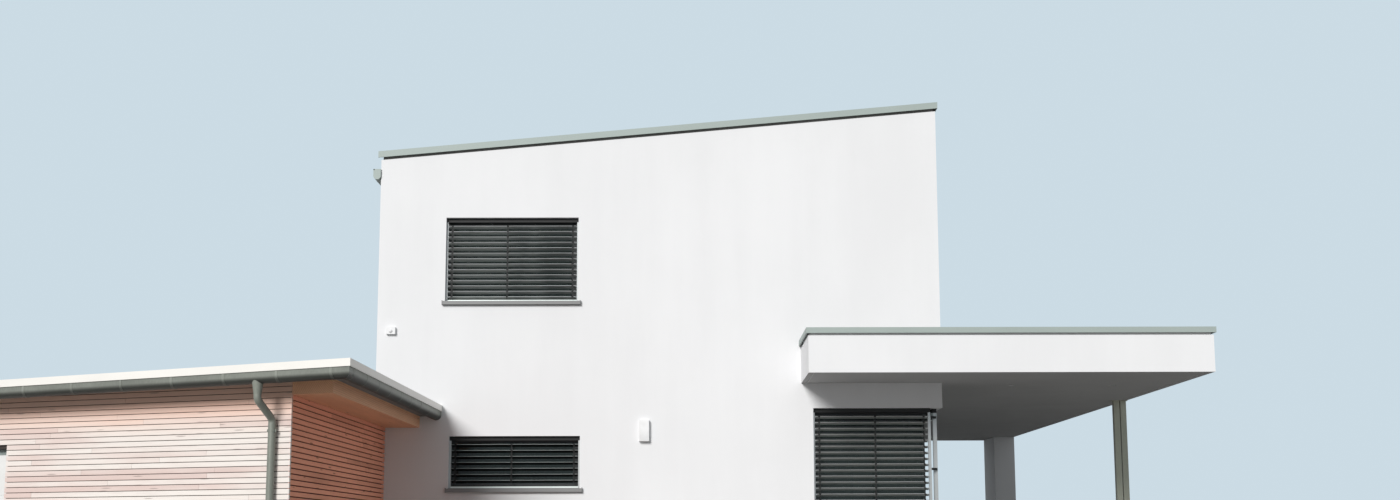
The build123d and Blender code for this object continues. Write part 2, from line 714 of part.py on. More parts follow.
def make_annex_roof():
    t = annex_trim_sheet
    g = 2 * (annex_gutter_radius + fit)
    slab = prism(annex_outline(annex_front_overhang - t - g, annex_right_overhang - t - g,
                               annex_other_overhang - t),
                 annex_roof_bottom, annex_roof_bottom + annex_roof_thickness)
    z1 = annex_roof_bottom + annex_roof_thickness + t
    z0 = z1 - annex_trim_height
    trim = prism(annex_outline(annex_front_overhang, annex_right_overhang, annex_other_overhang), z0, z1)
    trim -= prism(annex_outline(annex_front_overhang - t, annex_right_overhang - t, annex_other_overhang - t),
                  z0 - 10, z1 - t)
    lip = annex_trim_flange
    trim -= prism(annex_outline(annex_front_overhang - lip, annex_right_overhang - lip,
                                annex_other_overhang - lip), z0 - 10, z1 + 10)
    beam = prism([meet("front", 0, "right", -annex_beam_reach + annex_beam_width),
                  meet("front", 0, "right", -annex_beam_reach),
                  meet("right", -annex_beam_reach, "house_front", 0),
                  meet("right", -annex_beam_reach + annex_beam_width, "house_front", 0)],
                 annex_soffit_height, annex_roof_bottom)
    inner = -annex_beam_reach + annex_beam_width
    soffit = prism([meet("front", annex_cladding, "right", 0), meet("front", annex_cladding, "right", inner),
                    meet("right", inner, "house_front", 0), meet("right", 0, "house_front", 0)],
                   annex_soffit_height, annex_soffit_height + annex_soffit_thickness)
    board = prism([meet("front", 0, "right", 0), meet("front", 0, "right", inner),
                   meet("front", annex_cladding, "right", inner), meet("front", annex_cladding, "right", 0)],
                  annex_soffit_height, annex_roof_bottom)
    section = u_gutter(2 * annex_gutter_radius, annex_gutter_height, gutter_sheet)
    rim = z0 + annex_gutter_lap
    path_depth = annex_trim_sheet + annex_gutter_radius + fit
    end_depth = -annex_other_overhang + t + annex_gutter_end_gap
    p0 = meet("left", end_depth, "front", -annex_front_overhang + path_depth)
    p1 = meet("front", -annex_front_overhang + path_depth, "right", -annex_right_overhang + path_depth)
    p2 = meet("right", -annex_right_overhang + path_depth, "house_front", 0)
    path = Polyline((p0[0], p0[1], rim), (p1[0], p1[1], rim), (p2[0], p2[1], rim))
    start = Plane(origin=(p0[0], p0[1], rim), x_dir=(sin(skew), cos(skew), 0),
                  z_dir=(cos(skew), -sin(skew), 0))
    gutter = sweep(start * section, path=path, transition=Transition.RIGHT)
    # Closed ends, at the left corner and against the house
    last = Plane(origin=(p2[0], p2[1], rim), x_dir=(-cos(turn), sin(turn), 0), z_dir=(sin(turn), cos(turn), 0))
    closed = u_gutter_fill(2 * annex_gutter_radius, annex_gutter_height)
    gutter += extrude(start * closed, amount=gutter_sheet)
    gutter += extrude(last * closed, amount=-gutter_sheet)
    return {"annex_roof": roof_tilt(slab), "annex_roof_edge": roof_tilt(trim), "annex_gutter": roof_tilt(gutter),
            "annex_eave_beam": under_roof(beam), "annex_soffit": soffit, "annex_eave_board": under_roof(board)}


def make_annex_pipe():
    # Downpipe on the front, from the gutter back to the wall and down
    r = annex_pipe_diameter / 2
    x = -annex_pipe_from_corner
    y_wall = -annex_pipe_gap - r
    y_gutter = -annex_front_overhang + annex_trim_sheet + annex_gutter_radius + fit
    rim = annex_roof_bottom + annex_roof_thickness + annex_trim_sheet - annex_trim_height + annex_gutter_lap
    z_bottom = rim - annex_gutter_height
    z_outlet = z_bottom + annex_outlet_rise
    z_neck = z_outlet - annex_outlet_height
    z_out = z_neck - annex_neck_drop
    z_in = z_out - annex_bend_drop
    path = FilletPolyline((x, y_gutter, z_neck), (x, y_gutter, z_out), (x, y_wall, z_in), (x, y_wall, 0),
                          radius=annex_bend_radius)
    ring = Plane(origin=(x, y_gutter, z_neck), z_dir=(0, 0, -1)) * Circle(r)
    pipe = sweep(ring, path=path)
    funnel = Pos(x, y_gutter, (z_outlet + z_neck) / 2) * Cone(r, annex_outlet_radius, annex_outlet_height)
    trough = Pos(x, y_gutter, z_bottom + annex_gutter_radius) * Rot(0, 90, 0) * Cylinder(annex_gutter_radius + fit, trough_tool_length)
    return {"annex_downpipe": on_annex_front(pipe + funnel) - roof_tilt(on_annex_front(trough))}


def make_garage_door():
    x0 = -door_from_corner - door_width
    x1 = -door_from_corner
    y0 = door_recess
    frame = box(x0, x1, y0, annex_wall, 0, door_height)
    frame -= box(x0 + door_frame, x1 - door_frame, y0 - 10, annex_wall + 10, -10, door_height - door_frame)
    # The leaf is made of level sections with a groove between them
    face = y0 + door_leaf_gap
    tall = door_height - door_frame
    leaf = box(x0 + door_frame, x1 - door_frame, face, face + door_leaf, 0, tall)
    for i in range(1, door_sections):
        z = i * tall / door_sections
        leaf -= box(x0, x1, face - 10, face + door_groove_depth, z - door_groove_width / 2,
                    z + door_groove_width / 2)
    return {"garage_door_frame": on_annex_front(frame), "garage_door": on_annex_front(leaf)}


def make_small_things():
    x1 = -wall_box_right
    lamp = box(x1 - wall_box_width, x1, front - wall_box_depth, front, wall_box_bottom,
               wall_box_bottom + wall_box_height)
    x0 = left + sensor_from_left
    sensor = box(x0, x0 + sensor_width, front - sensor_depth, front, sensor_bottom, sensor_bottom + sensor_height)
    return {"wall_box": lamp, "wall_sensor": sensor}


def main():
    os.makedirs("parts", exist_ok=True)
    made = {}
    for make in (make_walls, make_floors, make_roof, make_eaves, make_windows, make_corner_window,
                 make_canopy, make_annex_walls, make_annex_roof, make_annex_pipe, make_garage_door,
                 make_small_things):
        made.update(make())
    for name, shape in made.items():
        export_step(shape, f"parts/{name}.step")


main()
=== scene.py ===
import json
from math import cos, pi, radians, sin

import bpy
import numpy as np
from mathutils import Matrix, Vector


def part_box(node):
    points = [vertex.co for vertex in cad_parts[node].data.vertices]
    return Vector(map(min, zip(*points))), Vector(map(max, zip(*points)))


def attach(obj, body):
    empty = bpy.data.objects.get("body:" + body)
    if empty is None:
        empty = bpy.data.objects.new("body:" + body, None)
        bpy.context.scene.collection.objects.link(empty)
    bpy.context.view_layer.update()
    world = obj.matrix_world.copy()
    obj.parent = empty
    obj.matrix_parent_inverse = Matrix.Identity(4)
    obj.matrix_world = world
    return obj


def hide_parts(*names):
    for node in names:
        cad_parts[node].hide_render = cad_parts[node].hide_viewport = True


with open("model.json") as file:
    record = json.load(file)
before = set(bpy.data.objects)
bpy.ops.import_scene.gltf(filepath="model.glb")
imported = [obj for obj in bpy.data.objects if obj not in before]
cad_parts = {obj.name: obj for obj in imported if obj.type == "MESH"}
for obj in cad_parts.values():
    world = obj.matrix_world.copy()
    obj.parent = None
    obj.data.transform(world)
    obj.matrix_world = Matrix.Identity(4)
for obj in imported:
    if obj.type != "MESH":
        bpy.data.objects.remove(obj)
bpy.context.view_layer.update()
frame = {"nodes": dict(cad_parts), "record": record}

bl_info = {
    "name": "Detached house dressing",
    "version": (1, 0, 0),
    "blender": (4, 5, 0),
    "location": "View3D > Sidebar > House",
    "description": "Battens, trims, finishes, light and camera for a rendered house with a timber annex",
    "category": "Object",
}

BODY = "root"
X, Y, UP = np.eye(3)
ON_FACE = 1e-3  # Points this near a plane or line, in metres, lie on it


# ---------------------------------------------------------------- sizes and colours a user would change


def length(name, default, description):
    """A length in metres for a property group."""
    return bpy.props.FloatProperty(name=name, description=description, default=default, unit="LENGTH",
                                   subtype="DISTANCE")


def degrees(name, default, description):
    """An angle for a property group, given in degrees."""
    return bpy.props.FloatProperty(name=name, description=description, default=radians(default),
                                   subtype="ANGLE")


def number(name, default, description):
    """A plain number for a property group."""
    return bpy.props.FloatProperty(name=name, description=description, default=default)


def colour(name, default, description):
    """A linear colour for a property group."""
    return bpy.props.FloatVectorProperty(name=name, description=description, default=default, size=3,
                                         subtype="COLOR", min=0.0, max=1.0)


class HouseCladding(bpy.types.PropertyGroup):
    """Sizes of the annex's larch battens, and where its boards are fresher."""

    pitch: length("Batten pitch", 0.061, "Height from one batten to the next")
    gap: length("Front gap", 0.007, "Open joint between two battens of the front")
    side_gap: length("Side gap", 0.012, "Open joint between two battens of the other sides")
    thickness: length("Batten thickness", 0.022, "Depth of one batten")
    edge: length("Edge", 0.002, "Small bevel along each batten")
    joint: length("Butt joint", 0.002, "Gap between two battens end to end")
    least: length("Least height", 0.006, "Height at which a tapered batten ends")
    skew: degrees("Front turn", 19.0, "How far the annex front turns from the house front")
    turn: degrees("Right side turn", 0.6, "How far the annex's right side turns")
    shortest: length("Shortest batten", 1.6, "Shortest length between two butt joints")
    longest: length("Longest batten", 4.2, "Longest length between two butt joints")
    last: length("Last batten", 0.5, "A last batten shorter than this is joined to the one before it")
    scrap: length("Scrap", 0.05, "Pieces shorter than this are left out")
    low_row: length("Low row", 0.02, "Rows lower than this are left out")
    shelter_end: length("Shelter's end", 0.60, "How far below the annex eave the fresher tone ends")
    shelter_full: length("Full shelter", 0.10, "How far below the annex eave the fresher tone is full")
    heart_aside: length("Heart aside", 0.20, "How far beside the soffit the heart of its boards' log lay")
    heart_above: length("Heart above", 0.35, "How far above the soffit's underside that heart lay")
    seed: bpy.props.IntProperty(name="Seed", description="Where the butt joints and tones fall", default=11)


class HouseGutters(bpy.types.PropertyGroup):
    """Sizes of the gutter straps and pipe clips."""

    spacing: length("Strap spacing", 0.62, "Distance from one gutter strap to the next")
    from_end: length("First strap", 0.22, "Distance of the first strap from the gutter's end")
    strap_width: length("Strap width", 0.030, "Width of a gutter strap")
    strap_sheet: length("Strap sheet", 0.003, "Thickness of a gutter strap")
    annex_radius: length("Annex gutter radius", 0.072, "Half the width of the annex gutter")
    annex_height: length("Annex gutter height", 0.128, "Height of the annex gutter")
    eaves_radius: length("Eaves gutter radius", 0.0525, "Half the width of the eaves gutter")
    eaves_height: length("Eaves gutter height", 0.150, "Height of the eaves gutter")
    bead: length("Bead", 0.009, "Radius of the rolled bead along a gutter's front")
    clip_spacing: length("Clip spacing", 0.85, "Height from one pipe clip to the next")
    clip_height: length("Clip height", 0.030, "Height of a pipe clip")
    clip_sheet: length("Clip sheet", 0.003, "From the pipe to a clip's outer face; half an ear's thickness")
    hoop_gap: length("Hoop gap", 0.0005, "From the pipe to a clip's inner face")
    clip_first: length("First clip", 0.35, "Height of the lowest pipe clip")
    clip_top: length("Top clip", 0.45, "Least distance of a clip from the pipe's top")
    ear: length("Clip ear", 0.018, "How far a clip's ear stands out")
    bolt_place: length("Bolt place", 0.011, "Distance of the ear's bolt from the pipe")
    bolt_radius: length("Bolt radius", 0.0055, "Radius of the ear's bolt")
    pin_radius: length("Pin radius", 0.005, "Radius of the pin that holds a clip to the wall")
    pin_length: length("Pin length", 0.024, "Length of that pin")
    brace_inset: length("Brace inset", 0.004, "How far a gutter brace lies below and inside the rim")


class HouseRoofs(bpy.types.PropertyGroup):
    """Sizes of the seams and the sheet on the roofs."""

    seam_spacing: length("Seam spacing", 1.50, "Distance from one membrane seam to the next")
    seam_width: length("Seam width", 0.060, "Width of a welded seam")
    seam_height: length("Seam height", 0.004, "Height of a welded seam")
    seam_inset: length("Seam inset", 0.045, "Distance of a seam's end from the roof's edge")
    sheet: length("Canopy sheet", 0.006, "Thickness of the membrane on the canopy")
    rim: length("Canopy rim", 0.292, "From the canopy coping's outer edge to the sheet")


class HouseFittings(bpy.types.PropertyGroup):
    """Sizes of the small fittings."""

    tape_width: length("Tape width", 0.010, "Width of a blind's ladder tape")
    tape_thickness: length("Tape thickness", 0.0012, "Thickness of a blind's ladder tape")
    tape_from_end: length("Tape from end", 0.080, "Distance of the outer tapes from the slat ends")
    tape_middle: length("Middle tape", 0.86, "Distance of the middle tape from the left end")
    loop_width: length("Tape loop width", 0.030, "Width of the loop that holds a slat")
    loop_height: length("Tape loop height", 0.012, "Height of the loop that holds a slat")
    tape_below: length("Tape below", 0.005, "How far a tape hangs below the lowest slat")
    tape_above: length("Tape above", 0.008, "How far a tape reaches above the highest slat")
    loop_front: length("Tape loop front", 0.003, "How far a loop stands in front of the slats")
    loop_back: length("Tape loop back", 0.004, "How far a loop reaches round the slat's edge")
    cap: length("Sill cap", 0.007, "Thickness of the caps on a sill's ends")
    cap_lip: length("Sill cap lip", 0.0025, "How far a cap stands out round its sill")
    plate_width: length("Handle plate width", 0.046, "Width of the garage door's handle plate")
    plate_height: length("Handle plate height", 0.150, "Height of the garage door's handle plate")
    handle_height: length("Handle height", 0.73, "Height of the garage door's handle")
    plate_corner: length("Handle plate corner", 0.012, "Rounding of the handle plate's corners")
    plate_depth: length("Handle plate depth", 0.007, "How far the handle plate stands out")
    neck_radius: length("Neck radius", 0.011, "Radius of the neck between the plate and the grip")
    neck_start: length("Neck start", 0.004, "From the door to the neck's start, inside the plate")
    neck_length: length("Neck length", 0.030, "From the door to where the neck narrows")
    neck_end: length("Neck end", 0.034, "From the door to the neck's end, inside the grip")
    neck_tip: length("Neck tip", 0.009, "Radius of the neck's end")
    grip_length: length("Grip length", 0.118, "Length of the garage door's grip")
    grip_reach: length("Grip reach", 0.040, "How far in front of the door the grip's middle lies")
    grip_bow: length("Grip bow", 0.006, "How far the grip bows out at its middle")
    grip_depth: length("Grip depth", 0.014, "Thickness of the grip, front to back")
    grip_height: length("Grip height", 0.022, "Height of the grip")
    grip_edge: length("Grip edge", 0.005, "Bevel of the grip's edges")
    lens_radius: length("Downlight lens", 0.041, "Radius of a downlight's lens")
    lens_dome: length("Lens dome", 0.006, "How far a downlight's lens bulges down")
    lens_place: length("Lens place", 0.004, "Height of a lens above the lamp's underside")
    lens_depth: length("Lens depth", 0.012, "Height of the lens's back above that")
    cover_edge: length("Box cover edge", 0.010, "Rounding of the wall box's cover")
    cover_depth: length("Box cover depth", 0.009, "How far the cover stands out")
    cover_lap: length("Box cover lap", 0.004, "How much larger than its box the cover is")
    eye_radius: length("Sensor eye", 0.026, "Radius of the sensor's eye")
    eye_dome: length("Sensor eye dome", 0.017, "How far the eye bulges out")
    eye_drop: length("Sensor eye drop", 0.008, "How far the eye sits below the sensor's middle")


class HouseColours(bpy.types.PropertyGroup):
    """Colours of the finishes, linear."""

    render_wall: colour("Wall render", (0.812, 0.818, 0.832), "Fine white render of the walls and canopy")
    sheet_grey: colour("Coping sheet", (0.35, 0.405, 0.385), "Grey-green coated sheet of the copings")
    zinc: colour("Zinc", (0.22, 0.235, 0.205), "Weathered zinc of the pipes")
    gutter_zinc: colour("Gutter zinc", (0.23, 0.242, 0.215), "Zinc of the annex gutter and its straps")
    # Painted shade: this grey darkens the canopy's downward faces to stand for the shade under it
    soffit_shade: colour("Canopy soffit", (0.46, 0.46, 0.46), "Grey paint under the canopy")
    cream: colour("Roof edge", (0.84, 0.82, 0.78), "Pale sheet round the annex roof")
    slat: colour("Slats", (0.74, 0.79, 0.76), "Grey coated slats of the blinds")
    rail: colour("Guide rails", (0.42, 0.43, 0.43), "Anodised guide rails of the blinds")
    head: colour("Head rails", (0.014, 0.014, 0.014), "Dark head rails of the blinds")
    frame: colour("Window frames", (0.055, 0.058, 0.060), "Dark grey window frames")
    sill: colour("Sills", (0.25, 0.25, 0.25), "Aluminium sills")
    post: colour("Posts", (0.43, 0.43, 0.35), "Galvanised steel posts")
    larch_sunny: colour("Larch, sunny side", (0.73, 0.585, 0.545), "Bleached larch on the annex front")
    larch_grey: colour("Larch, weathered", (0.835, 0.785, 0.745), "Grey patches of the annex front")
    larch_red: colour("Larch, shaded sides", (0.83, 0.375, 0.255), "Red-brown larch on the other sides")
    larch_eave: colour("Larch under the eave", (0.84, 0.56, 0.45), "Fresher larch just under the annex eave")
    beam: colour("Eave boards", (0.90, 0.49, 0.30), "Orange-brown boards of the annex eaves")
    door: colour("Garage door", (0.76, 0.76, 0.75), "White garage door")
    membrane: colour("Roof membrane", (0.21, 0.21, 0.205), "Grey roof membrane")
    concrete: colour("Concrete", (0.36, 0.35, 0.33), "Floors")
    core: colour("Wall core", (0.035, 0.026, 0.022), "Dark sheet behind the battens")
    box: colour("Wall box", (0.785, 0.79, 0.80), "Small boxes on the front wall")
    glass: colour("Glass", (0.020, 0.028, 0.027), "Window glass")
    lens: colour("Lenses", (0.55, 0.55, 0.52), "Lenses of the downlights")


class HouseStage(bpy.types.PropertyGroup):
    """Floor, light and camera."""

    floor_size: length("Floor", 420.0, "Side of the pale floor")
    floor_colour: colour("Floor colour", (0.60, 0.60, 0.59), "Pale floor")
    floor_bounce: colour("Floor bounce", (0.27, 0.265, 0.255), "What the floor throws back on the house")
    backdrop: colour("Backdrop", (0.60, 0.71, 0.78), "Pale backdrop that the camera sees")
    sky: colour("Sky light", (0.93, 0.97, 1.0), "Soft light from all sides")
    sky_strength: number("Sky strength", 0.34, "Strength of the soft light")
    key_strength: number("Key strength", 3.1, "Strength of the key lamp")
    key_softness: degrees("Key softness", 22.0, "Apparent size of the key lamp")
    key_colour: colour("Key colour", (1.0, 0.985, 0.965), "Slightly warm light of the key lamp")
    key_way: bpy.props.FloatVectorProperty(name="Key direction", description="The way the key light travels",
                                           default=(0.349, 0.831, -0.432), size=3, subtype="DIRECTION")
    camera_place: bpy.props.FloatVectorProperty(name="Camera", description="Where the camera stands",
                                                default=(0.41, -26.883, 0.85), size=3, subtype="TRANSLATION")
    lens: number("Lens", 38.571, "Focal length in millimetres on a 36 mm sensor")
    pitch: number("Pitch", 0.1350, "Camera tilt up, in radians")
    yaw: number("Yaw", -0.0078, "Camera turn, in radians")
    roll: number("Roll", -0.0030, "Camera roll, in radians")
    shift: number("Shift", 0.0633, "Vertical shift of the frame")


def sizes(kind):
    """The property group of one kind on the scene."""
    return getattr(bpy.context.scene, "house_" + kind)


# ---------------------------------------------------------------- meshes worked out as whole arrays


def put_mesh(name, points, faces, tones=None, grain=None):
    """A mesh object from an array of points and a list of index arrays, one array per face size.

    tones and grain are kept on the points: each board's own tone, and where it was cut from the log.
    """
    points = np.asarray(points, np.float32).reshape(-1, 3)
    totals = np.concatenate([np.full(len(f), f.shape[1]) for f in faces])
    corners = np.concatenate([f.reshape(-1) for f in faces]).astype(np.int32)
    mesh = bpy.data.meshes.new(name)
    mesh.vertices.add(len(points))
    mesh.vertices.foreach_set("co", points.reshape(-1))
    mesh.loops.add(len(corners))
    mesh.loops.foreach_set("vertex_index", corners)
    mesh.polygons.add(len(totals))
    starts = np.concatenate([[0], np.cumsum(totals)[:-1]]).astype(np.int32)
    mesh.polygons.foreach_set("loop_start", starts)
    mesh.update(calc_edges=True)
    if tones is not None:
        mesh.attributes.new("tone", "FLOAT", "POINT").data.foreach_set("value", tones.astype(np.float32))
        cut = mesh.attributes.new("grain", "FLOAT_VECTOR", "POINT")
        cut.data.foreach_set("vector", grain.astype(np.float32).reshape(-1))
    mesh.validate()
    mesh.set_sharp_from_angle(angle=radians(30.0))
    piece = bpy.data.objects.new(name, mesh)
    bpy.context.scene.collection.objects.link(piece)
    return piece


def skin(loops, closed=False):
    """Faces over many stacks of closed loops at once: loops is stacks x loops x points x 3.

    Neighbouring loops are joined by quads. The first and last are capped unless the stack is closed.
    """
    stacks, stations, n = loops.shape[:3]
    index = np.arange(stacks * stations * n).reshape(stacks, stations, n)
    here = index if closed else index[:, :-1]
    there = np.roll(index, -1, axis=1) if closed else index[:, 1:]
    sides = np.stack([here, np.roll(here, -1, axis=2), np.roll(there, -1, axis=2), there], axis=-1)
    faces = [sides.reshape(-1, 4)]
    if not closed:
        faces.append(np.concatenate([index[:, 0, ::-1], index[:, -1]]))
    return loops.reshape(-1, 3), faces


def carried(profile, places, across, up, closed=False):
    """A closed profile carried along many paths at once.

    A point is place + across * profile x + up * profile y. places is an array of paths x stations x 3.
    across and up are like it, or one vector for all, and across x up points along the path. Each path may
    have its own profile.
    """
    profile = np.asarray(profile, float)
    if profile.ndim == 2:
        profile = profile[None]
    across, up = np.broadcast_to(across, places.shape), np.broadcast_to(up, places.shape)
    loops = (places[:, :, None] + across[:, :, None] * profile[:, None, :, :1]
             + up[:, :, None] * profile[:, None, :, 1:])
    return skin(loops, closed)


def joined(parts):
    """Several (points, faces) pairs as one pair."""
    points, faces, start = [], [], 0
    for p, fs in parts:
        points.append(p)
        faces += [f + start for f in fs]
        start += len(p)
    return np.concatenate(points), faces


def bevelled(width, height, edge):
    """A rectangle with cut corners, counter-clockwise round the origin."""
    x, y = width / 2, height / 2
    return [(-x + edge, -y), (x - edge, -y), (x, -y + edge), (x, y - edge),
            (x - edge, y), (-x + edge, y), (-x, y - edge), (-x, -y + edge)]


def rectangle(x0, x1, y0, y1):
    """A rectangle between two corners, counter-clockwise."""
    return [(x0, y0), (x1, y0), (x1, y1), (x0, y1)]


def bars(low, high, axis, share=0.12):
    """Bars along one axis between low and high corners, each with its long edges cut.

    The bar's section is a bevelled rectangle, whose bevel is a share of its thinner side.
    """
    low, high = np.atleast_2d(low).astype(float), np.atleast_2d(high).astype(float)
    a, b = (axis + 1) % 3, (axis + 2) % 3
    size = high - low
    edge = share * np.minimum(size[:, a], size[:, b])
    profile = np.stack([bevelled(w, h, e) for w, h, e in zip(size[:, a], size[:, b], edge)])
    middle = (low + high) / 2
    places = np.stack([middle, middle], axis=1)
    places[:, 0, axis], places[:, 1, axis] = low[:, axis], high[:, axis]
    return carried(profile, places, np.eye(3)[a], np.eye(3)[b])


def full_turn(steps):
    """Angles spread evenly over one turn."""
    return np.linspace(0, 2 * pi, steps, endpoint=False)


def dome(radius, start, rise, steps):
    """A round profile from a rim at one height to a small flat top, or bottom where rise is negative."""
    return [(max(radius * cos(t), 0.001), start + rise * sin(t)) for t in np.linspace(0, pi / 2, steps)]


def round_way(angle, u, v):
    """Directions at some angles, turned from u to v."""
    return np.cos(angle)[:, None] * u + np.sin(angle)[:, None] * v


def turned_rings(profile, centres, u, v, steps=32):
    """Round pieces: circles of the profile's radii, set along u x v at the profile's heights."""
    circle = round_way(full_turn(steps), u, v)
    radius, height = np.asarray(profile, float).T
    rings = radius[:, None, None] * circle[None] + height[:, None, None] * np.cross(u, v)
    return skin(np.asarray(centres, float)[:, None, None] + rings[None])


def folded_strap(places, outward, side, width, sheet):
    """A flat strap of one width and sheet that follows each row of places; side x outward points along it."""
    return carried(rectangle(-width / 2, width / 2, 0.0, sheet), places, side, outward)


def add_piece(name, mesh, finish, replaces=()):
    """A new piece with its finish, slot and body. The slot holds the finish's material."""
    piece = put_mesh(name, *mesh)
    piece.data.materials.append(bpy.data.materials["finish_" + finish])
    if replaces:
        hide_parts(*replaces)
    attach(piece, BODY)


# ---------------------------------------------------------------- materials


class Value:
    """One socket of a material that can be used in Python arithmetic."""

    def __init__(self, finish, socket):
        self.finish, self.socket = finish, socket

    def math(self, operation, *others):
        values = dict(enumerate([self, *others]))
        return self.finish.node("ShaderNodeMath", {"operation": operation}, values)

    def __add__(self, other):
        return self.math("ADD", other)

    def __mul__(self, other):
        return self.math("MULTIPLY", other)

    def __sub__(self, other):
        return self.math("SUBTRACT", other)

    def __rsub__(self, other):
        return self.finish.node("ShaderNodeMath", {"operation": "SUBTRACT"}, {0: other, 1: self})

    def between(self, low, high):
        """0 below low, 1 above high and smooth between them."""
        return self.finish.node("ShaderNodeMapRange", {"interpolation_type": "SMOOTHSTEP"},
                                {"Value": self, "From Min": low, "From Max": high})


class Finish:
    """One material, or the world, and the nodes that make it."""

    def __init__(self, name, world=None):
        self.owner = world or bpy.data.materials.new("finish_" + name)
        self.owner.use_nodes = True
        self.tree = self.owner.node_tree
        self.tree.nodes.clear()
        self.out = self.tree.nodes.new("ShaderNodeOutputWorld" if world else "ShaderNodeOutputMaterial")

    def node(self, kind, settings, values, output=0):
        """Adds a node of one type: its settings first, then the values or links of its sockets."""
        node = self.tree.nodes.new(kind)
        for key, value in settings.items():
            setattr(node, key, value)
        for key, value in values.items():
            if isinstance(value, Value):
                self.tree.links.new(value.socket, node.inputs[key])
            else:
                node.inputs[key].default_value = value
        return Value(self, node.outputs[output])

    def place(self, scale=(1, 1, 1), start=(0, 0, 0)):
        """Object coordinates, multiplied by a scale and then moved."""
        at = self.node("ShaderNodeTexCoord", {}, {}, "Object")
        return self.node("ShaderNodeMapping", {}, {"Vector": at, "Location": start, "Scale": scale})

    def board(self, scale):
        """Each board's own grain coordinates: along it, through it and up it."""
        at = self.node("ShaderNodeAttribute", {"attribute_name": "grain"}, {}, "Vector")
        return self.node("ShaderNodeMapping", {}, {"Vector": at, "Scale": scale})

    def facing_down(self, low, high):
        """0 where a face looks down by less than low, 1 where by more than high."""
        faces = self.node("ShaderNodeNewGeometry", {}, {}, "Normal")
        return (0 - self.part(faces, "Z")).between(low, high)

    def part(self, vector, axis):
        """One of the three numbers of a vector."""
        return self.node("ShaderNodeSeparateXYZ", {}, {"Vector": vector}, axis)

    def eye_rays(self):
        """1 for rays from the camera, off gloss and through glass, and 0 for light that falls on things."""
        camera, gloss, glass = (self.node("ShaderNodeLightPath", {}, {}, "Is %s Ray" % kind)
                                for kind in ("Camera", "Glossy", "Transmission"))
        return camera.math("MAXIMUM", gloss).math("MAXIMUM", glass)

    def spots(self, at, radius, soft, scale=1.0):
        """Round spots, one in each cell: 1 inside the radius, fading to 0 at the soft one."""
        cells = self.node("ShaderNodeTexVoronoi", {"feature": "F1"}, {"Vector": at, "Scale": scale})
        return 1 - cells.between(radius, soft)

    def noise(self, at, scale, detail, rough):
        """Smooth noise, 0 to 1."""
        return self.node("ShaderNodeTexNoise", {}, {"Vector": at, "Scale": scale, "Detail": detail,
                                                    "Roughness": rough})

    def blend(self, factor, a, b, kind="MIX"):
        """Two colours mixed by a factor."""
        a, b = (v if isinstance(v, Value) else (*v[:3], 1.0) for v in (a, b))
        settings = {"data_type": "RGBA", "blend_type": kind}
        return self.node("ShaderNodeMix", settings, {0: factor, 6: a, 7: b}, 2)

    def mottled(self, tone, base, dark, light, low=0.3, high=0.7):
        """The base times dark where the tone is below low, and times light where it is above high."""
        return self.blend(tone.between(low, high), shade(base, dark), shade(base, light))

    def bump(self, height, distance, strength):
        """A bump from a height of 0 to 1 that stands for a distance in metres."""
        return self.node("ShaderNodeBump", {}, {"Height": height, "Distance": distance, "Strength": strength})

    def surface(self, colour, roughness, normal=None, **fixed):
        """The Principled shader of this finish; fixed values go straight onto its sockets."""
        values = {"Base Color": colour, "Roughness": roughness, **fixed}
        if normal is not None:
            values["Normal"] = normal
        shader = self.node("ShaderNodeBsdfPrincipled", {}, values)
        return self.end(shader)

    def end(self, shader):
        """Links the last shader to the output and gives back the material or the world."""
        self.tree.links.new(shader.socket, self.out.inputs["Surface"])
        return self.owner


def shade(colour, amount):
    """A colour made lighter or darker by a factor."""
    return tuple(min(1.0, c * amount) for c in colour[:3])


def rendered_wall(name, base, underside_shade=None):
    """Fine render: broad soft clouds of tone, a faint float pattern, and a sand-grain bump.

    Where underside_shade is given, the faces that look down take that colour: painted shade on the
    undersides.
    """
    f = Finish(name)
    at = f.place()
    clouds = f.noise(at, 0.55, 4.0, 0.55)
    streaks = f.noise(f.place((1.6, 1.6, 0.18)), 1.2, 4.0, 0.6)
    grain = f.noise(at, 240.0, 2.0, 0.6)
    float_marks = f.noise(at, 16.0, 3.0, 0.6)
    tone = clouds * 0.55 + streaks * 0.45
    colour = f.mottled(tone, base, 0.955, 1.015, 0.30, 0.72)
    # Painted shade: faces that look down take the darker underside colour
    if underside_shade:
        shaded_underside = f.mottled(tone, underside_shade, 0.95, 1.04, 0.30, 0.72)
        colour = f.blend(f.facing_down(0.4, 0.6), colour, shaded_underside)
    colour = f.blend(grain.between(0.25, 0.75) * 0.12, colour, shade(base, 0.88), "MULTIPLY")
    height = grain * 0.8 + float_marks * 0.2
    return f.surface(colour, tone * 0.1 + 0.84, f.bump(height, 0.0012, 0.5), **{"Specular IOR Level": 0.2})


def coated_metal(name, base, rough, metallic, wear=0.06, along=(1, 1, 1), ripple=0.0004, speck=90.0,
                 underside_shade=None):
    """Coated or weathered sheet: soft patches, fine specks, slight oil-canning in the bump.

    underside_shade is how dark the sheet is painted where it looks down: painted shade on its undersides.
    """
    f = Finish(name)
    at = f.place(along)
    patches = f.noise(at, 2.2, 5.0, 0.6)
    specks = f.noise(at, speck, 2.0, 0.5)
    tone = patches * 0.7 + specks * 0.3
    colour = f.mottled(tone, base, 1.0 - wear, 1.0 + wear)
    # Painted shade: faces that look down are darkened
    if underside_shade:
        colour = f.blend(f.facing_down(-0.2, 0.6), colour, shade(base, underside_shade))
    waves = f.noise(at, 4.0, 1.0, 0.4)
    normal = f.bump(waves * 0.85 + specks * 0.15, ripple, 0.6)
    return f.surface(colour, patches * 0.16 + (rough - 0.08), normal, Metallic=metallic,
                     **{"Specular IOR Level": 0.3})


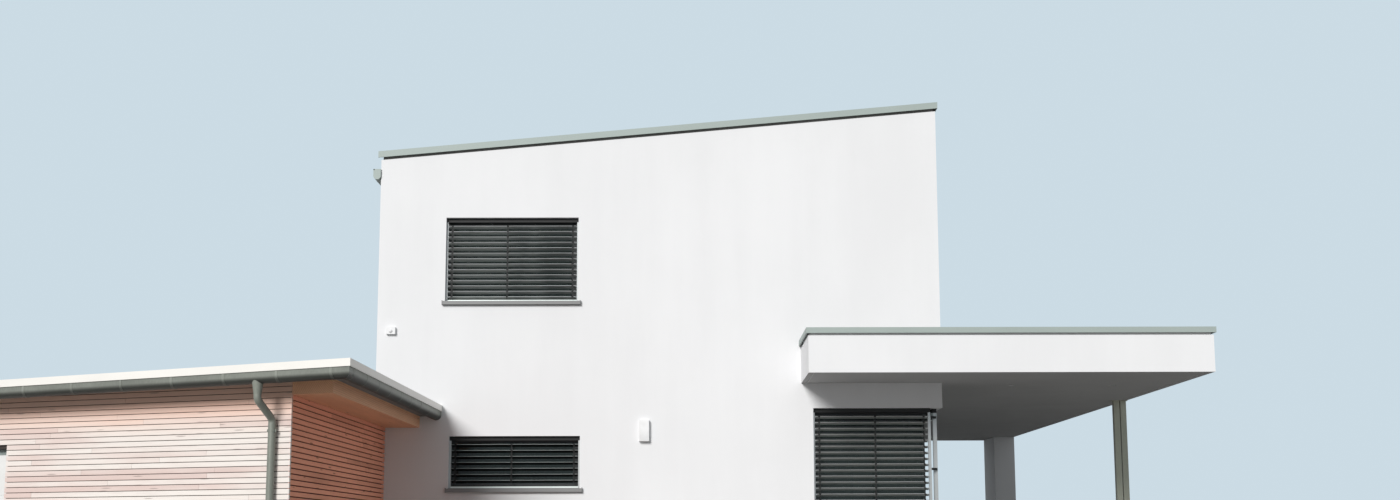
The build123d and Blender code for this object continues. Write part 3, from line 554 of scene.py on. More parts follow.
def hung_slats(name, base, edge, body, back, reflection_patchiness):
    """Tilted slats, with painted light: a painted highlight on the front edge, painted shade that darkens the
    body to its back, and broad soft patches of painted reflection.

    edge, body and back are how light each of these is beside the base, and reflection_patchiness is the
    strength of the painted reflection patches.
    """
    f = Finish(name)
    at = f.place()
    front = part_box("upper_blind_slats")[0][1]
    depth = f.part(at, "Y") - front
    broad = f.noise(f.place((1.2, 1.0, 0.5), (2.0, 0.0, 0.0)), 1.0, 3.0, 0.55)
    # Painted shade: the body darkens from the front towards the back of each slat
    colour = f.blend(depth.between(0.014, 0.066), shade(base, body), shade(base, back))
    # Painted reflection: broad dark patches multiplied into the colour
    colour = f.blend(broad.between(0.36, 0.60) * reflection_patchiness, colour, (0.30, 0.31, 0.32), "MULTIPLY")
    # Painted highlight: a pale line along each slat's front edge
    colour = f.blend(depth.between(0.004, 0.007), shade(base, edge), colour)
    specks = f.noise(f.place((0.5, 0.5, 1.0)), 200.0, 2.0, 0.5)
    return f.surface(colour, broad * 0.12 + 0.24, f.bump(specks, 0.0003, 0.3), Metallic=0.35,
                     **{"Specular IOR Level": 0.4})


def larch(name, base, grey, spread, knots=0.7, shelter=None):
    """Larch battens: each batten has its own tone, with long grain, darker knots and bleached patches.

    shelter is the colour of the rows under the eave and the heights between which it fades in. The patches
    shift that fade up and down, by 0.15 m on average.
    """
    f = Finish(name)
    own = f.node("ShaderNodeAttribute", {"attribute_name": "tone"}, {}, "Fac")
    grain = f.noise(f.board((2.2, 60.0, 60.0)), 1.6, 5.0, 0.65)
    patch = f.noise(f.place((0.5, 0.5, 2.2)), 1.1, 3.0, 0.5)
    knot = f.spots(f.board((1.6, 4.0, 16.0)), 0.06, 0.14)
    warm = f.blend(own, shade(base, 1 - spread), shade(base, 1 + spread))
    aged = f.blend((patch * 0.78 + own * 0.22).between(0.30, 0.62), warm, grey)
    if shelter:
        tone, low, high = shelter
        fresh = (f.part(f.place(), "Z") + patch * 0.2 + own * 0.1).between(low + 0.15, high + 0.15)
        aged = f.blend(fresh, aged, tone)
    lined = f.blend(grain.between(0.42, 0.80) * 0.26, aged, shade(base, 0.62))
    colour = f.blend(knot * knots, lined, shade(base, 0.30))
    fine = f.noise(f.place(), 160.0, 2.0, 0.5)
    normal = f.bump(grain * 0.8 + fine * 0.2, 0.0011, 0.7)
    return f.surface(colour, grain * 0.15 + 0.70, normal, **{"Specular IOR Level": 0.05})


def planed_board(name, base, heart):
    """Oiled boards that run along Y: growth rings round the log's heart, small knots and a soft sheen."""
    f = Finish(name)
    rings = f.node("ShaderNodeTexWave", {"wave_type": "RINGS", "rings_direction": "Y", "wave_profile": "SIN"},
                   {"Vector": f.place((1.0, 0.10, 1.0), heart), "Scale": 17.0, "Distortion": 2.5,
                    "Detail": 2.0, "Detail Scale": 1.2}, 1)
    broad = f.noise(f.place((3.0, 0.4, 3.0)), 1.4, 3.0, 0.5)
    fine = f.noise(f.place((90.0, 1.5, 90.0)), 2.0, 3.0, 0.6)
    knot = f.spots(f.place((7.0, 1.3, 7.0)), 0.05, 0.12)
    tone = rings * 0.2 + fine * 0.35 + broad * 0.45
    colour = f.mottled(tone, base, 0.82, 1.15, 0.25, 0.75)
    colour = f.blend(knot * 0.45, colour, shade(base, 0.35))
    normal = f.bump(rings * 0.4 + fine * 0.6, 0.0006, 0.5)
    return f.surface(colour, broad * 0.2 + 0.6, normal, **{"Specular IOR Level": 0.15})


def membrane(name, base):
    """Roof membrane: dust that gathers in soft patches, and a light fabric texture."""
    f = Finish(name)
    at = f.place()
    dust = f.noise(at, 0.8, 5.0, 0.6)
    weave = f.noise(at, 320.0, 1.0, 0.5)
    colour = f.mottled(dust, base, 0.82, 1.12)
    return f.surface(colour, dust * 0.12 + 0.78, f.bump(weave * 0.4 + dust * 0.6, 0.002, 0.5))


def cast_concrete(name, base):
    """Float-finished concrete: mottled tone, small pores and a low bump."""
    f = Finish(name)
    at = f.place()
    mottle = f.noise(at, 1.6, 6.0, 0.62)
    pore = f.spots(at, 0.05, 0.14, 60.0)
    colour = f.mottled(mottle, base, 0.84, 1.1)
    colour = f.blend(pore * 0.5, colour, shade(base, 0.5))
    return f.surface(colour, mottle * 0.15 + 0.75, f.bump(mottle * 0.6 - pore * 0.4, 0.0015, 0.5))


def window_glass(name, base):
    """Glazing: dark, smooth and part see-through, with the faint waviness of a sealed unit."""
    f = Finish(name)
    at = f.place()
    film = f.noise(at, 1.5, 3.0, 0.5)
    colour = f.blend(film, shade(base, 0.85), shade(base, 1.3))
    wave = f.noise(at, 1.1, 1.0, 0.3)
    return f.surface(colour, film * 0.03 + 0.02, f.bump(wave, 0.0006, 0.4), Alpha=0.72,
                     **{"Specular IOR Level": 0.3})


def two_tone_floor(seen, bounce):
    """The floor: pale to the camera, to metal and to glass, and darker where its light falls on the house."""
    f = Finish("floor_pale")
    return f.surface(f.blend(f.eye_rays(), bounce, seen), 0.9)


def moulded(name, base, rough):
    """Moulded housings: an even tone with a fine leathery grain."""
    f = Finish(name)
    at = f.place()
    grain = f.noise(at, 420.0, 2.0, 0.5)
    tone = f.noise(at, 9.0, 2.0, 0.5)
    colour = f.mottled(tone, base, 0.95, 1.04)
    return f.surface(colour, grain * 0.08 + rough, f.bump(grain, 0.0003, 0.4))


def make_finishes():
    """All finishes, from the colours on the scene."""
    c = sizes("colours")
    rendered_wall("white_render", c.render_wall)
    # The canopy's downward faces take the soffit_shade colour: painted shade
    rendered_wall("canopy_render", c.render_wall, c.soffit_shade)
    coated_metal("grey_metal", c.sheet_grey, 0.5, 0.05, 0.04, (0.5, 0.5, 1.5))
    coated_metal("zinc", c.zinc, 0.48, 0.12, 0.14, (1, 1, 0.5), 0.0003, 60.0)
    # The gutter, its straps and the sills are darkened where they look down: painted shade
    weathered = 0.5, 0.12, 0.16, (1, 1, 0.5), 0.0003, 60.0
    coated_metal("gutter_zinc", c.gutter_zinc, *weathered, underside_shade=0.18)
    coated_metal("strap_zinc", shade(c.gutter_zinc, 1.3), *weathered, underside_shade=0.25)
    coated_metal("cream_metal", c.cream, 0.40, 0.05, 0.03, (0.4, 0.4, 1.5))
    coated_metal("steel_posts", c.post, 0.45, 0.3, 0.12, (1.5, 1.5, 0.5), 0.0002, 45.0)
    coated_metal("blind_slat", c.slat, 0.30, 0.35, 0.05, (0.5, 0.5, 1.0), 0.0003, 200.0)
    # The slats carry painted light: a highlight on the front edge, shade to the back and reflection patches
    hung_slats("upper_slat", c.slat, 1.4, 1.4, 0.6, 0.65)
    hung_slats("corner_slat", c.slat, 1.4, 1.4, 0.6, 0.2)
    # The lower blind's slats are a much darker copy of the same slats: painted shade
    hung_slats("lower_slat", c.slat, 0.8, 0.08, 0.03, 0.4)
    coated_metal("blind_rail", c.rail, 0.38, 0.6, 0.05, (4, 4, 0.4), 0.0001, 260.0)
    coated_metal("blind_head", c.head, 0.5, 0.2, 0.06)
    coated_metal("black_bracket", shade(c.head, 0.9), 0.5, 0.3, 0.08)
    coated_metal("window_frame_grey", c.frame, 0.42, 0.2, 0.05, (1, 1, 1), 0.0001, 300.0)
    coated_metal("sill_metal", c.sill, 0.42, 0.15, 0.04, (0.5, 0.5, 2.0), 0.0002, 220.0, underside_shade=0.25)
    coated_metal("door_frame_grey", shade(c.sheet_grey, 0.8), 0.45, 0.1, 0.05)
    coated_metal("door_white", c.door, 0.42, 0.05, 0.03, (0.5, 0.5, 2.0), 0.0005, 250.0)
    coated_metal("lamp_dark", shade(c.head, 4.0), 0.45, 0.4, 0.06)
    moulded("white_box", c.box, 0.38)
    membrane("roof_membrane", c.membrane)
    cast_concrete("concrete", c.concrete)
    membrane("wall_core", c.core)
    s = sizes("cladding")
    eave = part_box("annex_front_cladding")[1][2]
    shelter = c.larch_eave, eave - s.shelter_end, eave - s.shelter_full
    larch("larch_sunny", c.larch_sunny, c.larch_grey, 0.045, 0.5, shelter)
    larch("larch_red", c.larch_red, shade(c.larch_red, 1.15), 0.16)
    low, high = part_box("annex_soffit")
    planed_board("beam_wood", c.beam, (-high[0] - s.heart_aside, 0.0, -low[2] - s.heart_above))
    window_glass("window_glass", c.glass)
    moulded("lamp_lens", c.lens, 0.3)
    moulded("sensor_lens", shade(c.box, 0.92), 0.35)


def dress_nodes():
    """Each carried-over node takes the finish named like its slot in the record, or its own one here."""
    slots = {s["node"]: s["material_slot"] for s in frame["record"]["subparts"]}
    slots.update(canopy_slab="canopy_render", annex_gutter="gutter_zinc", upper_blind_slats="upper_slat",
                 lower_blind_slats="lower_slat", corner_blind_slats="corner_slat")
    for name, node in frame["nodes"].items():
        node.data.materials.clear()
        node.data.materials.append(bpy.data.materials["finish_" + slots[name]])


# ---------------------------------------------------------------- pieces


def node_points(node):
    """A node's vertices as an array."""
    mesh = frame["nodes"][node].data
    co = np.empty(len(mesh.vertices) * 3, np.float32)
    mesh.vertices.foreach_get("co", co)
    return co.reshape(-1, 3).astype(float)


def node_edges(node):
    """A node's edges, as pairs of vertex numbers."""
    mesh = frame["nodes"][node].data
    pairs = np.empty(len(mesh.edges) * 2, np.int32)
    mesh.edges.foreach_get("vertices", pairs)
    return pairs.reshape(-1, 2)


def solids_of(node):
    """The lowest and highest corners of each separate solid of a node.

    Vertices at one place count as one. Each takes the lowest number among its neighbours' until none changes.
    """
    points = node_points(node)
    _, same = np.unique(np.round(points, 5), axis=0, return_inverse=True)
    same = same.reshape(-1)
    a, b = same[node_edges(node)].T
    label = np.arange(same.max() + 1)
    while True:
        least = np.minimum(label[a], label[b])
        fresh = label.copy()
        np.minimum.at(fresh, a, least)
        np.minimum.at(fresh, b, least)
        fresh = fresh[fresh]
        if (fresh == label).all():
            break
        label = fresh
    owner = label[same]
    return [(points[owner == k].min(axis=0), points[owner == k].max(axis=0)) for k in np.unique(owner)]


def cut_at(node, axis, value):
    """Where a node's edges cross the plane at one value of an axis."""
    points = node_points(node)
    a, b = points[node_edges(node)[:, 0]], points[node_edges(node)[:, 1]]
    crossing = (a[:, axis] < value) != (b[:, axis] < value)
    a, b = a[crossing], b[crossing]
    share = (value - a[:, axis]) / (b[:, axis] - a[:, axis])
    return a + share[:, None] * (b - a)


def top_line(points, way):
    """The two ends, along a way, of the highest line over some points."""
    reach = points @ way
    ends = []
    for value in (reach.min(), reach.max()):
        there = points[np.abs(reach - value) < 2 * ON_FACE]
        ends.append(there[there[:, 2].argmax()])
    return ends


def outer_face(node, out):
    """The points of a node that lie furthest in one direction, and how far that is."""
    points = node_points(node)
    reach = points @ out
    return points[reach > reach.max() - ON_FACE], reach.max()


def annex_ways():
    """Along and out of the annex's front, and along and out of its right side."""
    s = sizes("cladding")
    return ((X * cos(s.skew) - Y * sin(s.skew), -X * sin(s.skew) - Y * cos(s.skew)),
            (X * sin(s.turn) + Y * cos(s.turn), X * cos(s.turn) - Y * sin(s.turn)))


def meeting(node, along, out, other_node, other_out, short=0.0):
    """How far along one wall's face the outer face of another wall lies, or a plane just short of it."""
    face, other_face = outer_face(node, out)[1], outer_face(other_node, other_out)[1]
    return (other_face - short - face * np.dot(out, other_out)) / np.dot(along, other_out)


def batten_boards(node, along, out, gap, holes=(), start=None, end=None):
    """Battens on one wall: rows of boards, each a bevelled profile carried straight along the wall.

    The wall's outer face is found from the node: its furthest points in the direction out. A row's
    height is the row number times the pitch, and its boards end at random places, apart by the joint.
    Where the wall's top slopes, a board ends at the line of that top and tapers along it. holes are
    (left, right, head) along the wall, and start and end are where the rows begin and stop, or the wall's
    own ends. Gives the points, the faces, each board's tone and its place in the log.
    """
    s = sizes("cladding")
    rng = np.random.default_rng(s.seed + len(node))
    on_face, face = outer_face(node, out)
    low, top = on_face[:, 2].min(), on_face[:, 2].max()
    ends = top_line(on_face[on_face[:, 2] > (low + top) / 2], along)
    reach, tops = [end @ along for end in ends], [end[2] for end in ends]
    start = (on_face @ along).min() if start is None else start
    end = (on_face @ along).max() if end is None else end
    rows = int((top - low) / s.pitch)
    tall = s.pitch - gap
    slope = (tops[1] - tops[0]) / (reach[1] - reach[0])
    pieces = []

    def board(a, b, z0, z1, tone):
        """One board, in parts where the wall's top line cuts its lower or upper edge."""
        kinks = [reach[0] + (z - tops[0]) / slope for z in (z0 + s.least, z1)] if abs(slope) > 1e-4 else []
        stops = [a, *sorted(x for x in kinks if a + s.low_row < x < b - s.low_row), b]
        for p, q in zip(stops[:-1], stops[1:]):
            heights = [min(z1, np.interp(x, reach, tops)) for x in (p, q)]
            if max(heights) > z0 + s.least + 1e-4:
                pieces.append((p, q, z0, *(max(h, z0 + s.least) for h in heights), tone))

    for row in range(rows + 1):
        z1 = top - row * s.pitch
        z0 = max(z1 - tall, low)
        if z1 - z0 < s.low_row:
            continue
        cuts = [start]
        while cuts[-1] < end:
            cuts.append(cuts[-1] + rng.uniform(s.shortest, s.longest))
        cuts[-1] = end
        if len(cuts) > 2 and cuts[-1] - cuts[-2] < s.last:
            cuts.pop(-2)
        tone = rng.uniform(0, 1, len(cuts))
        for a, b, t in zip(cuts[:-1], cuts[1:], tone):
            for left, right, head in holes:
                if z0 < head and a < right and b > left:
                    if a < left:
                        board(a, left, z0, z1, t)
                    a = max(a, right) if b > right else b
            if b - a > s.scrap:
                board(a, b - s.joint, z0, z1, t)
    a, b, z0, za, zb, tones = np.array(pieces).T
    base = out * (face - s.thickness / 2)
    places = np.stack([base + along * x[:, None] + UP * ((z0 + z) / 2)[:, None]
                       for x, z in ((a, za), (b, zb))], axis=1)
    share = np.stack([za - z0, zb - z0], axis=1)[..., None] / tall
    inwards = -out
    if np.dot(np.cross(inwards, UP), along) < 0:
        places, share = places[:, ::-1], share[:, ::-1]
    profile = np.array(bevelled(s.thickness, tall, s.edge))
    points, faces = carried(profile, places, inwards, share * UP)
    each = 2 * len(profile)
    grain = np.stack([points @ along, points @ out, points[:, 2]], axis=1)
    grain += np.repeat(rng.uniform(0, 40, (len(a), 3)), each, axis=0)
    return points, faces, np.repeat(tones, each), grain


def gutter_straps(node, along, out, radius, height):
    """Straps round the front and bottom of a gutter, a brace over each, and a bead along the rim.

    The gutter's line is its outermost points in the direction out. A strap follows the gutter's section
    from the rim down its front, round half a circle to the back.
    """
    s = sizes("gutters")
    on_face, face = outer_face(node, out)
    a, b = top_line(on_face, along)
    run = (b - a) @ along
    count = max(2, int((run - 2 * s.from_end) / s.spacing) + 1)
    share = np.linspace(s.from_end, run - s.from_end, count) / run
    rims = a + share[:, None] * (b - a)
    rims = rims + out * (face - rims @ out)[:, None]
    centres = rims - out * radius - UP * (height - radius)
    outward = np.concatenate([[out], round_way(np.linspace(0, -pi, 13), out, UP)])
    line = centres[:, None] + radius * outward[None]
    line[:, 0] = rims
    side = along if np.dot(np.cross(along, out), -UP) > 0 else -along
    round_it = folded_strap(line, outward, side, s.strap_width, s.strap_sheet)
    # The brace: a flat bar just under the rim, from the back of the gutter to its front
    level = rims - UP * (s.brace_inset + s.strap_sheet)
    back, front = level - out * (2 * radius - s.brace_inset), level - out * s.brace_inset
    places = np.stack([back, front], axis=1)
    brace = folded_strap(places, UP, np.cross(UP, out), s.strap_width, s.strap_sheet)
    # The bead: a round rod along the rim, as long as the gutter's line
    bead = round_way(full_turn(10), *np.eye(2)) * s.bead
    inset = out * (face - s.bead) - UP * s.bead
    ends = np.stack([a - out * (a @ out) + inset, b - out * (b @ out) + inset])[None]
    if np.dot(np.cross(out, UP), along) < 0:
        ends = ends[:, ::-1]
    return joined([round_it, brace, carried(bead, ends, out, UP)])


def pipe_clips(node, wall, heights):
    """Clips round the straight part of a downpipe: a hoop, two ears with bolts, and a pin to the wall."""
    s = sizes("gutters")
    points = node_points(node)
    foot = points[points[:, 2] < min(heights)]
    low, high = foot.min(axis=0), foot.max(axis=0)
    centre = (low + high)[:2] / 2
    radius = (high - low)[0] / 2
    aside = np.cross(UP, wall)
    centres = np.array([[*centre, z] for z in heights])
    outward = round_way(full_turn(28), wall, aside)
    places = centres[:, None] + radius * outward[None]
    hoop = carried(rectangle(-s.clip_height / 2, s.clip_height / 2, s.hoop_gap, s.clip_sheet), places,
                   -UP, outward, closed=True)
    parts = [hoop]
    for sign in (-1, 1):
        # An ear on each side, a thin plate that stands out from the hoop
        places = np.stack([centres + aside * sign * reach for reach in (radius, radius + s.ear)], axis=1)
        plate = rectangle(-s.clip_height / 2, s.clip_height / 2, -s.clip_sheet, s.clip_sheet)
        parts.append(carried(plate, places, UP, np.cross(aside * sign, UP)))
        bolt = [(s.bolt_radius, -0.008), (s.bolt_radius, -0.003), (s.bolt_radius, 0.006), (0.003, 0.0075)]
        parts.append(turned_rings(bolt, centres + aside * sign * (radius + s.bolt_place), aside, UP))
    pin = [(s.pin_radius, 0.0), (s.pin_radius, s.pin_length)]
    parts.append(turned_rings(pin, centres + wall * radius, aside, UP))
    return joined(parts)


def membrane_seams(node, ys):
    """Welded seams on a roof: a low trapezoid carried over the roof's top, from its left edge to its right.

    At each y the node is cut, and the seam runs between the cut's leftmost and rightmost top points.
    """
    s = sizes("roofs")
    starts, ends = np.swapaxes([top_line(cut_at(node, 1, y), X) for y in ys], 0, 1)
    way = ends - starts
    way /= np.linalg.norm(way, axis=1)[:, None]
    places = np.stack([starts + way * s.seam_inset, ends - way * s.seam_inset], axis=1)
    half, tall = s.seam_width / 2, s.seam_height
    profile = [(-half, -0.001), (half, -0.001), (half - tall, tall), (-half + tall, tall)]
    return carried(profile, places, Y, np.cross(way, Y)[:, None])


class HOUSE_OT_finishes(bpy.types.Operator):
    """Make every finish and give the carried-over nodes theirs"""

    bl_idname = "house.finishes"
    bl_label = "Finishes"

    def execute(self, context):
        make_finishes()
        dress_nodes()
        return {"FINISHED"}


class HOUSE_OT_battens(bpy.types.Operator):
    """Clad the annex with rows of larch battens"""

    bl_idname = "house.battens"
    bl_label = "Annex battens"

    def execute(self, context):
        s = sizes("cladding")
        front, right = annex_ways()
        ends = node_points("garage_door_frame") @ front[0]
        hole = ends.min(), ends.max(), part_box("garage_door_frame")[1][2]
        names = "annex_front_cladding", "annex_right_cladding"
        corner = meeting(names[0], *front, names[1], right[1])
        behind = meeting(names[1], *right, names[0], front[1], s.thickness + s.joint)
        walls = {
            "front": (*front, s.gap, (hole,), None, corner),
            "right": (*right, s.side_gap, (), behind, None),
            "rear": (X, Y, s.side_gap),
            "left": (Y, -X, s.side_gap),
        }
        for side, place in walls.items():
            node, finish = "annex_" + side + "_cladding", "larch_sunny" if side == "front" else "larch_red"
            add_piece("annex_" + side + "_battens", batten_boards(node, *place), finish, replaces=(node,))
        return {"FINISHED"}


class HOUSE_OT_blind_tapes(bpy.types.Operator):
    """Hang the ladder tapes in front of the lowered blinds, with a loop at each slat"""

    bl_idname = "house.blind_tapes"
    bl_label = "Blind tapes"

    def execute(self, context):
        s = sizes("fittings")
        tapes, loops = [], []
        for node in ("upper_blind_slats", "lower_blind_slats", "corner_blind_slats"):
            low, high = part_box(node)
            slats = solids_of(node)
            for x in (low[0] + s.tape_from_end, low[0] + s.tape_middle, high[0] - s.tape_from_end):
                half = s.tape_width / 2
                for y in (low[1] - s.tape_thickness, high[1]):
                    tapes.append(((x - half, y, low[2] - s.tape_below),
                                  (x + half, y + s.tape_thickness, high[2] + s.tape_above)))
                half = s.loop_width / 2
                for _, top in slats:
                    loops.append(((x - half, low[1] - s.loop_front, top[2] - s.loop_height),
                                  (x + half, low[1] + s.loop_back, top[2])))
        tapes, loops = np.array(tapes), np.array(loops)
        parts = [bars(tapes[:, 0], tapes[:, 1], 2), bars(loops[:, 0], loops[:, 1], 0)]
        add_piece("blind_tapes", joined(parts), "blind_head")
        return {"FINISHED"}


class HOUSE_OT_gutter_straps(bpy.types.Operator):
    """Put straps, braces and a rolled bead on both gutters"""

    bl_idname = "house.gutter_straps"
    bl_label = "Gutter straps"

    def execute(self, context):
        s = sizes("gutters")
        size = s.annex_radius, s.annex_height
        annex = [gutter_straps("annex_gutter", *ways, *size) for ways in annex_ways()]
        add_piece("annex_gutter_straps", joined(annex), "strap_zinc")
        eaves = gutter_straps("eaves_gutter", Y, -X, s.eaves_radius, s.eaves_height)
        add_piece("eaves_gutter_straps", eaves, "grey_metal")
        return {"FINISHED"}


class HOUSE_OT_pipe_clips(bpy.types.Operator):
    """Clip both downpipes to their walls"""

    bl_idname = "house.pipe_clips"
    bl_label = "Pipe clips"

    def execute(self, context):
        s = sizes("gutters")
        for node, wall in (("annex_downpipe", -annex_ways()[0][1]), ("eaves_downpipe", X)):
            heights = np.arange(s.clip_first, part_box(node)[1][2] - s.clip_top, s.clip_spacing)
            add_piece(node + "_clips", pipe_clips(node, wall, heights), "zinc")
        return {"FINISHED"}


class HOUSE_OT_roof_seams(bpy.types.Operator):
    """Weld the membrane seams on the two roofs and lay the sheet on the canopy"""

    bl_idname = "house.roof_seams"
    bl_label = "Roof seams"

    def execute(self, context):
        s = sizes("roofs")
        for node, name in (("roof_deck", "roof_seams"), ("annex_roof", "annex_roof_seams")):
            low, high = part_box(node)
            count = int((high[1] - low[1]) / s.seam_spacing)
            ys = low[1] + (np.arange(count) + 0.6) * (high[1] - low[1]) / count
            add_piece(name, membrane_seams(node, ys), "roof_membrane")

        # The canopy's sheet: an L-shaped outline inside its coping, drawn in at its top by half its thickness
        points = node_points("canopy_slab")
        deck = points[:, 2].max()
        wall_x, wall_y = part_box("right_wall")[1][0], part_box("front_wall")[0][1]
        low, high = (np.array(c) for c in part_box("canopy_coping"))
        x0, y0, x1, y1 = *(low[:2] + s.rim), *(high[:2] - s.rim)
        outline = np.array([(x0, y0), (x1, y0), (x1, y1), (wall_x, y1), (wall_x, wall_y), (x0, wall_y)])
        way = np.array([(1, 1), (-1, 1), (-1, -1), (1, -1), (1, -1), (1, -1)])
        levels = ((0.0, -0.001), (0.0, s.sheet / 2), (s.sheet / 2, s.sheet))
        rings = [np.column_stack([outline + way * (s.sheet + inset), np.full(6, deck + rise)])
                 for inset, rise in levels]
        count = int((y1 - wall_y) / s.seam_spacing)
        ys = wall_y + (np.arange(count) + 0.5) * (y1 - wall_y) / count
        left, right, top = wall_x + s.sheet * 2, x1 - s.sheet * 2, deck + s.sheet + s.seam_height / 2
        half = s.seam_width / 2
        seams = bars([(left, y - half, deck) for y in ys], [(right, y + half, top) for y in ys], 0)
        add_piece("canopy_membrane", joined([skin(np.array(rings)[None]), seams]), "roof_membrane")
        return {"FINISHED"}


class HOUSE_OT_sill_caps(bpy.types.Operator):
    """Cap both ends of every window sill"""

    bl_idname = "house.sill_caps"
    bl_label = "Sill caps"

    def execute(self, context):
        s = sizes("fittings")
        wall_low, wall_high = np.array(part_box("front_wall")[0]), np.array(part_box("rear_wall")[1])
        groups = {0: [], 1: []}
        for low, high in solids_of("window_sills"):
            axis = 0 if high[0] - low[0] > high[1] - low[1] else 1
            depth = 1 - axis
            a, b = low - s.cap_lip, high + s.cap_lip
            if low[depth] < wall_low[depth]:
                b[depth] = wall_low[depth]
            else:
                a[depth] = wall_high[depth]
            for start in (low[axis] - s.cap_lip, high[axis] + s.cap_lip - s.cap):
                a[axis], b[axis] = start, start + s.cap
                groups[axis].append((a.copy(), b.copy()))
        parts = []
        for axis, rows in groups.items():
            rows = np.array(rows)
            parts.append(bars(rows[:, 0], rows[:, 1], axis, 0.06))
        add_piece("sill_caps", joined(parts), "sill_metal")
        return {"FINISHED"}


class HOUSE_OT_door_handle(bpy.types.Operator):
    """Fit the handle on the garage door"""

    bl_idname = "house.door_handle"
    bl_label = "Garage door handle"

    def execute(self, context):
        s = sizes("fittings")
        along, out = annex_ways()[0]
        on_face, face = outer_face("garage_door", out)
        reach = on_face @ along
        middle = along * (reach.min() + reach.max()) / 2 + out * face + UP * s.handle_height
        # The plate: rounded rings that shrink as they come forward
        size = s.plate_width, s.plate_height, s.plate_corner, s.plate_depth
        parts = [rounded_plate(middle, along, UP, *size)]
        neck = [(s.neck_radius, s.neck_start), (s.neck_radius, s.neck_length), (s.neck_tip, s.neck_end)]
        parts.append(turned_rings(neck, [middle], along, UP, 20))
        # The grip: a bevelled bar, bowed outwards and thinner at its ends
        x = np.linspace(-1, 1, 9)
        bow = s.grip_reach + s.grip_bow * (1 - x ** 2)
        places = (middle + along * (x * s.grip_length / 2)[:, None] + out * bow[:, None])[None]
        swell = (0.75 + 0.25 * np.sqrt(np.clip(1 - x ** 4, 0, 1)))[None, :, None]
        section = bevelled(s.grip_depth, s.grip_height, s.grip_edge)
        parts.append(carried(section, places, swell * np.cross(UP, along), swell * UP))
        add_piece("garage_door_handle", joined(parts), "black_bracket")
        return {"FINISHED"}


def front_middle(node):
    """The middle of a node's front face, and the node's size."""
    low, high = (np.array(c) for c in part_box(node))
    middle = (low + high) / 2
    return np.array([middle[0], low[1], middle[2]]), high - low


def rounded_plate(centre, u, v, width, height, radius, depth):
    """A plate with round corners and a soft edge, that stands out along u x v.

    Each ring is a rectangle with round corners, and the rings shrink along a quarter circle as they rise.
    """
    angle = full_turn(32) + pi / 32
    cx = np.sign(np.cos(angle)) * (width / 2 - radius)
    cy = np.sign(np.sin(angle)) * (height / 2 - radius)
    turn = np.linspace(0, pi / 2, 5)
    soft = min(depth, radius) * 0.7
    shrink = np.concatenate([[0], soft * (1 - np.cos(turn))])
    rise = np.concatenate([[0], depth - soft + soft * np.sin(turn)])
    r = radius - shrink
    x = cx[None] + r[:, None] * np.cos(angle)[None]
    y = cy[None] + r[:, None] * np.sin(angle)[None]
    loops = centre + x[..., None] * u + y[..., None] * v + rise[:, None, None] * np.cross(u, v)
    return skin(loops[None])


class HOUSE_OT_downlight_lenses(bpy.types.Operator):
    """Set a lens into each downlight of the canopy"""

    bl_idname = "house.downlight_lenses"
    bl_label = "Downlight lenses"

    def execute(self, context):
        s = sizes("fittings")
        lamps = solids_of("canopy_downlights")
        centres = [(*((low + high) / 2)[:2], low[2] + s.lens_place) for low, high in lamps]
        profile = [(s.lens_radius, s.lens_depth), *dome(s.lens_radius, s.lens_place, -s.lens_dome, 7)]
        add_piece("downlight_lenses", turned_rings(profile[::-1], centres, X, Y), "lamp_lens")
        return {"FINISHED"}


class HOUSE_OT_wall_fittings(bpy.types.Operator):
    """Give the wall box its cover and the sensor its eye"""

    bl_idname = "house.wall_fittings"
    bl_label = "Wall fittings"

    def execute(self, context):
        s = sizes("fittings")
        (box, box_size), (sensor, _) = (front_middle(node) for node in ("wall_box", "wall_sensor"))
        width, _, height = box_size + s.cover_lap
        cover = rounded_plate(box, X, UP, width, height, s.cover_edge, s.cover_depth)
        add_piece("wall_box_cover", cover, "white_box")
        rim = s.eye_radius * 1.12
        profile = [(rim, -0.001), (rim, 0.002), *dome(s.eye_radius, 0.002, s.eye_dome, 9)]
        eye = turned_rings(profile, [sensor - UP * s.eye_drop], X, UP)
        add_piece("sensor_eye", eye, "sensor_lens")
        return {"FINISHED"}


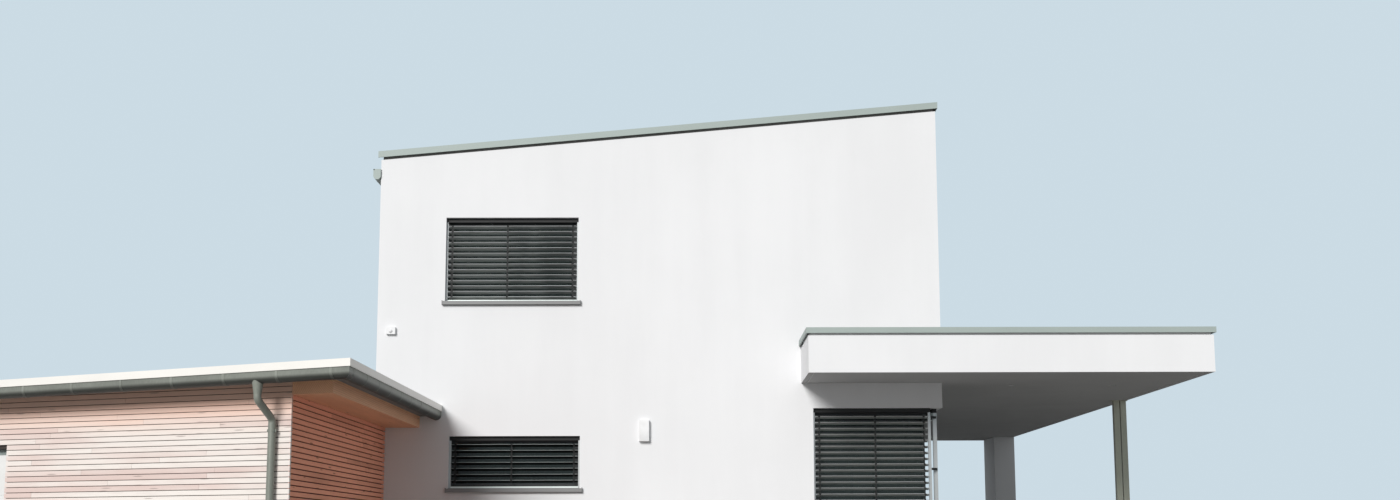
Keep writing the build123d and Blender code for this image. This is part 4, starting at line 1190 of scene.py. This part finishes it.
class HOUSE_OT_stage(bpy.types.Operator):
    """Set up the pale floor, the soft light and the camera"""

    bl_idname = "house.stage"
    bl_label = "Stage"

    def execute(self, context):
        s = sizes("stage")
        half = s.floor_size / 2
        u, v = np.meshgrid(np.linspace(-half, half, 9), np.linspace(-half, half, 9), indexing="ij")
        index = np.arange(81).reshape(9, 9)
        quads = np.stack([index[:-1, :-1], index[1:, :-1], index[1:, 1:], index[:-1, 1:]], axis=-1)
        floor = put_mesh("stage_floor", np.stack([u, v, np.zeros_like(u)], axis=-1), [quads.reshape(-1, 4)])
        floor.data.materials.append(two_tone_floor(s.floor_colour, s.floor_bounce))

        f = Finish("soft_sky", bpy.data.worlds.new("soft_sky"))
        light, seen = (f.node("ShaderNodeBackground", {}, {"Color": (*tone, 1.0), "Strength": strength})
                       for tone, strength in ((s.sky, s.sky_strength), (s.backdrop, 1.0)))
        context.scene.world = f.end(f.node("ShaderNodeMixShader", {}, {0: f.eye_rays(), 1: light, 2: seen}))

        lamp = bpy.data.lights.new("key_lamp", "SUN")
        lamp.energy, lamp.angle, lamp.color = s.key_strength, s.key_softness, s.key_colour
        key = bpy.data.objects.new("key_lamp", lamp)
        key.rotation_mode = "QUATERNION"
        key.rotation_quaternion = Vector(s.key_way).to_track_quat("-Z", "Y")
        key.location = Vector(s.key_way) * -40.0
        context.scene.collection.objects.link(key)

        camera = bpy.data.cameras.new("camera")
        camera.lens, camera.sensor_width, camera.sensor_fit = s.lens, 36.0, "HORIZONTAL"
        camera.shift_x, camera.shift_y = 0.0, s.shift
        camera.clip_end = 1000.0
        view = bpy.data.objects.new("camera", camera)
        context.scene.collection.objects.link(view)
        level = Vector((-sin(s.yaw), cos(s.yaw), 0.0))
        right = Vector((cos(s.yaw), sin(s.yaw), 0.0))
        ahead = level * cos(s.pitch) + Vector(UP) * sin(s.pitch)
        above = Vector(UP) * cos(s.pitch) - level * sin(s.pitch)
        across = right * cos(s.roll) + above * sin(s.roll)
        top = above * cos(s.roll) - right * sin(s.roll)
        view.matrix_world = Matrix((across, top, -ahead)).transposed().to_4x4()
        view.location = s.camera_place
        context.scene.camera = view

        context.scene.view_settings.view_transform = "Standard"
        return {"FINISHED"}


class HOUSE_PT_panel(bpy.types.Panel):
    """Lists the house's sizes, colours and steps."""

    bl_label = "House"
    bl_idname = "HOUSE_PT_panel"
    bl_space_type = "VIEW_3D"
    bl_region_type = "UI"
    bl_category = "House"

    def draw(self, context):
        for kind, group in GROUPS.items():
            column = self.layout.column(heading=kind.capitalize())
            for key in group.__annotations__:
                column.prop(sizes(kind), key)
        for step in STEPS:
            self.layout.operator(step.bl_idname)


GROUPS = {"cladding": HouseCladding, "gutters": HouseGutters, "roofs": HouseRoofs, "fittings": HouseFittings,
          "colours": HouseColours, "stage": HouseStage}
STEPS = (HOUSE_OT_finishes, HOUSE_OT_battens, HOUSE_OT_blind_tapes, HOUSE_OT_gutter_straps,
         HOUSE_OT_pipe_clips, HOUSE_OT_roof_seams, HOUSE_OT_sill_caps, HOUSE_OT_door_handle,
         HOUSE_OT_downlight_lenses, HOUSE_OT_wall_fittings, HOUSE_OT_stage)


def register():
    """Register the classes and hang the property groups on the scene."""
    for group in (*GROUPS.values(), *STEPS, HOUSE_PT_panel):
        bpy.utils.register_class(group)
    for kind, group in GROUPS.items():
        setattr(bpy.types.Scene, "house_" + kind, bpy.props.PointerProperty(type=group))


def unregister():
    """Take the property groups and classes off again."""
    for kind in GROUPS:
        delattr(bpy.types.Scene, "house_" + kind)
    for group in (HOUSE_PT_panel, *reversed(STEPS), *reversed(GROUPS.values())):
        bpy.utils.unregister_class(group)


def main():
    """Run every step in order."""
    register()
    for step in STEPS:
        group, name = step.bl_idname.split(".")
        getattr(getattr(bpy.ops, group), name)()


if __name__ == "__main__":
    main()
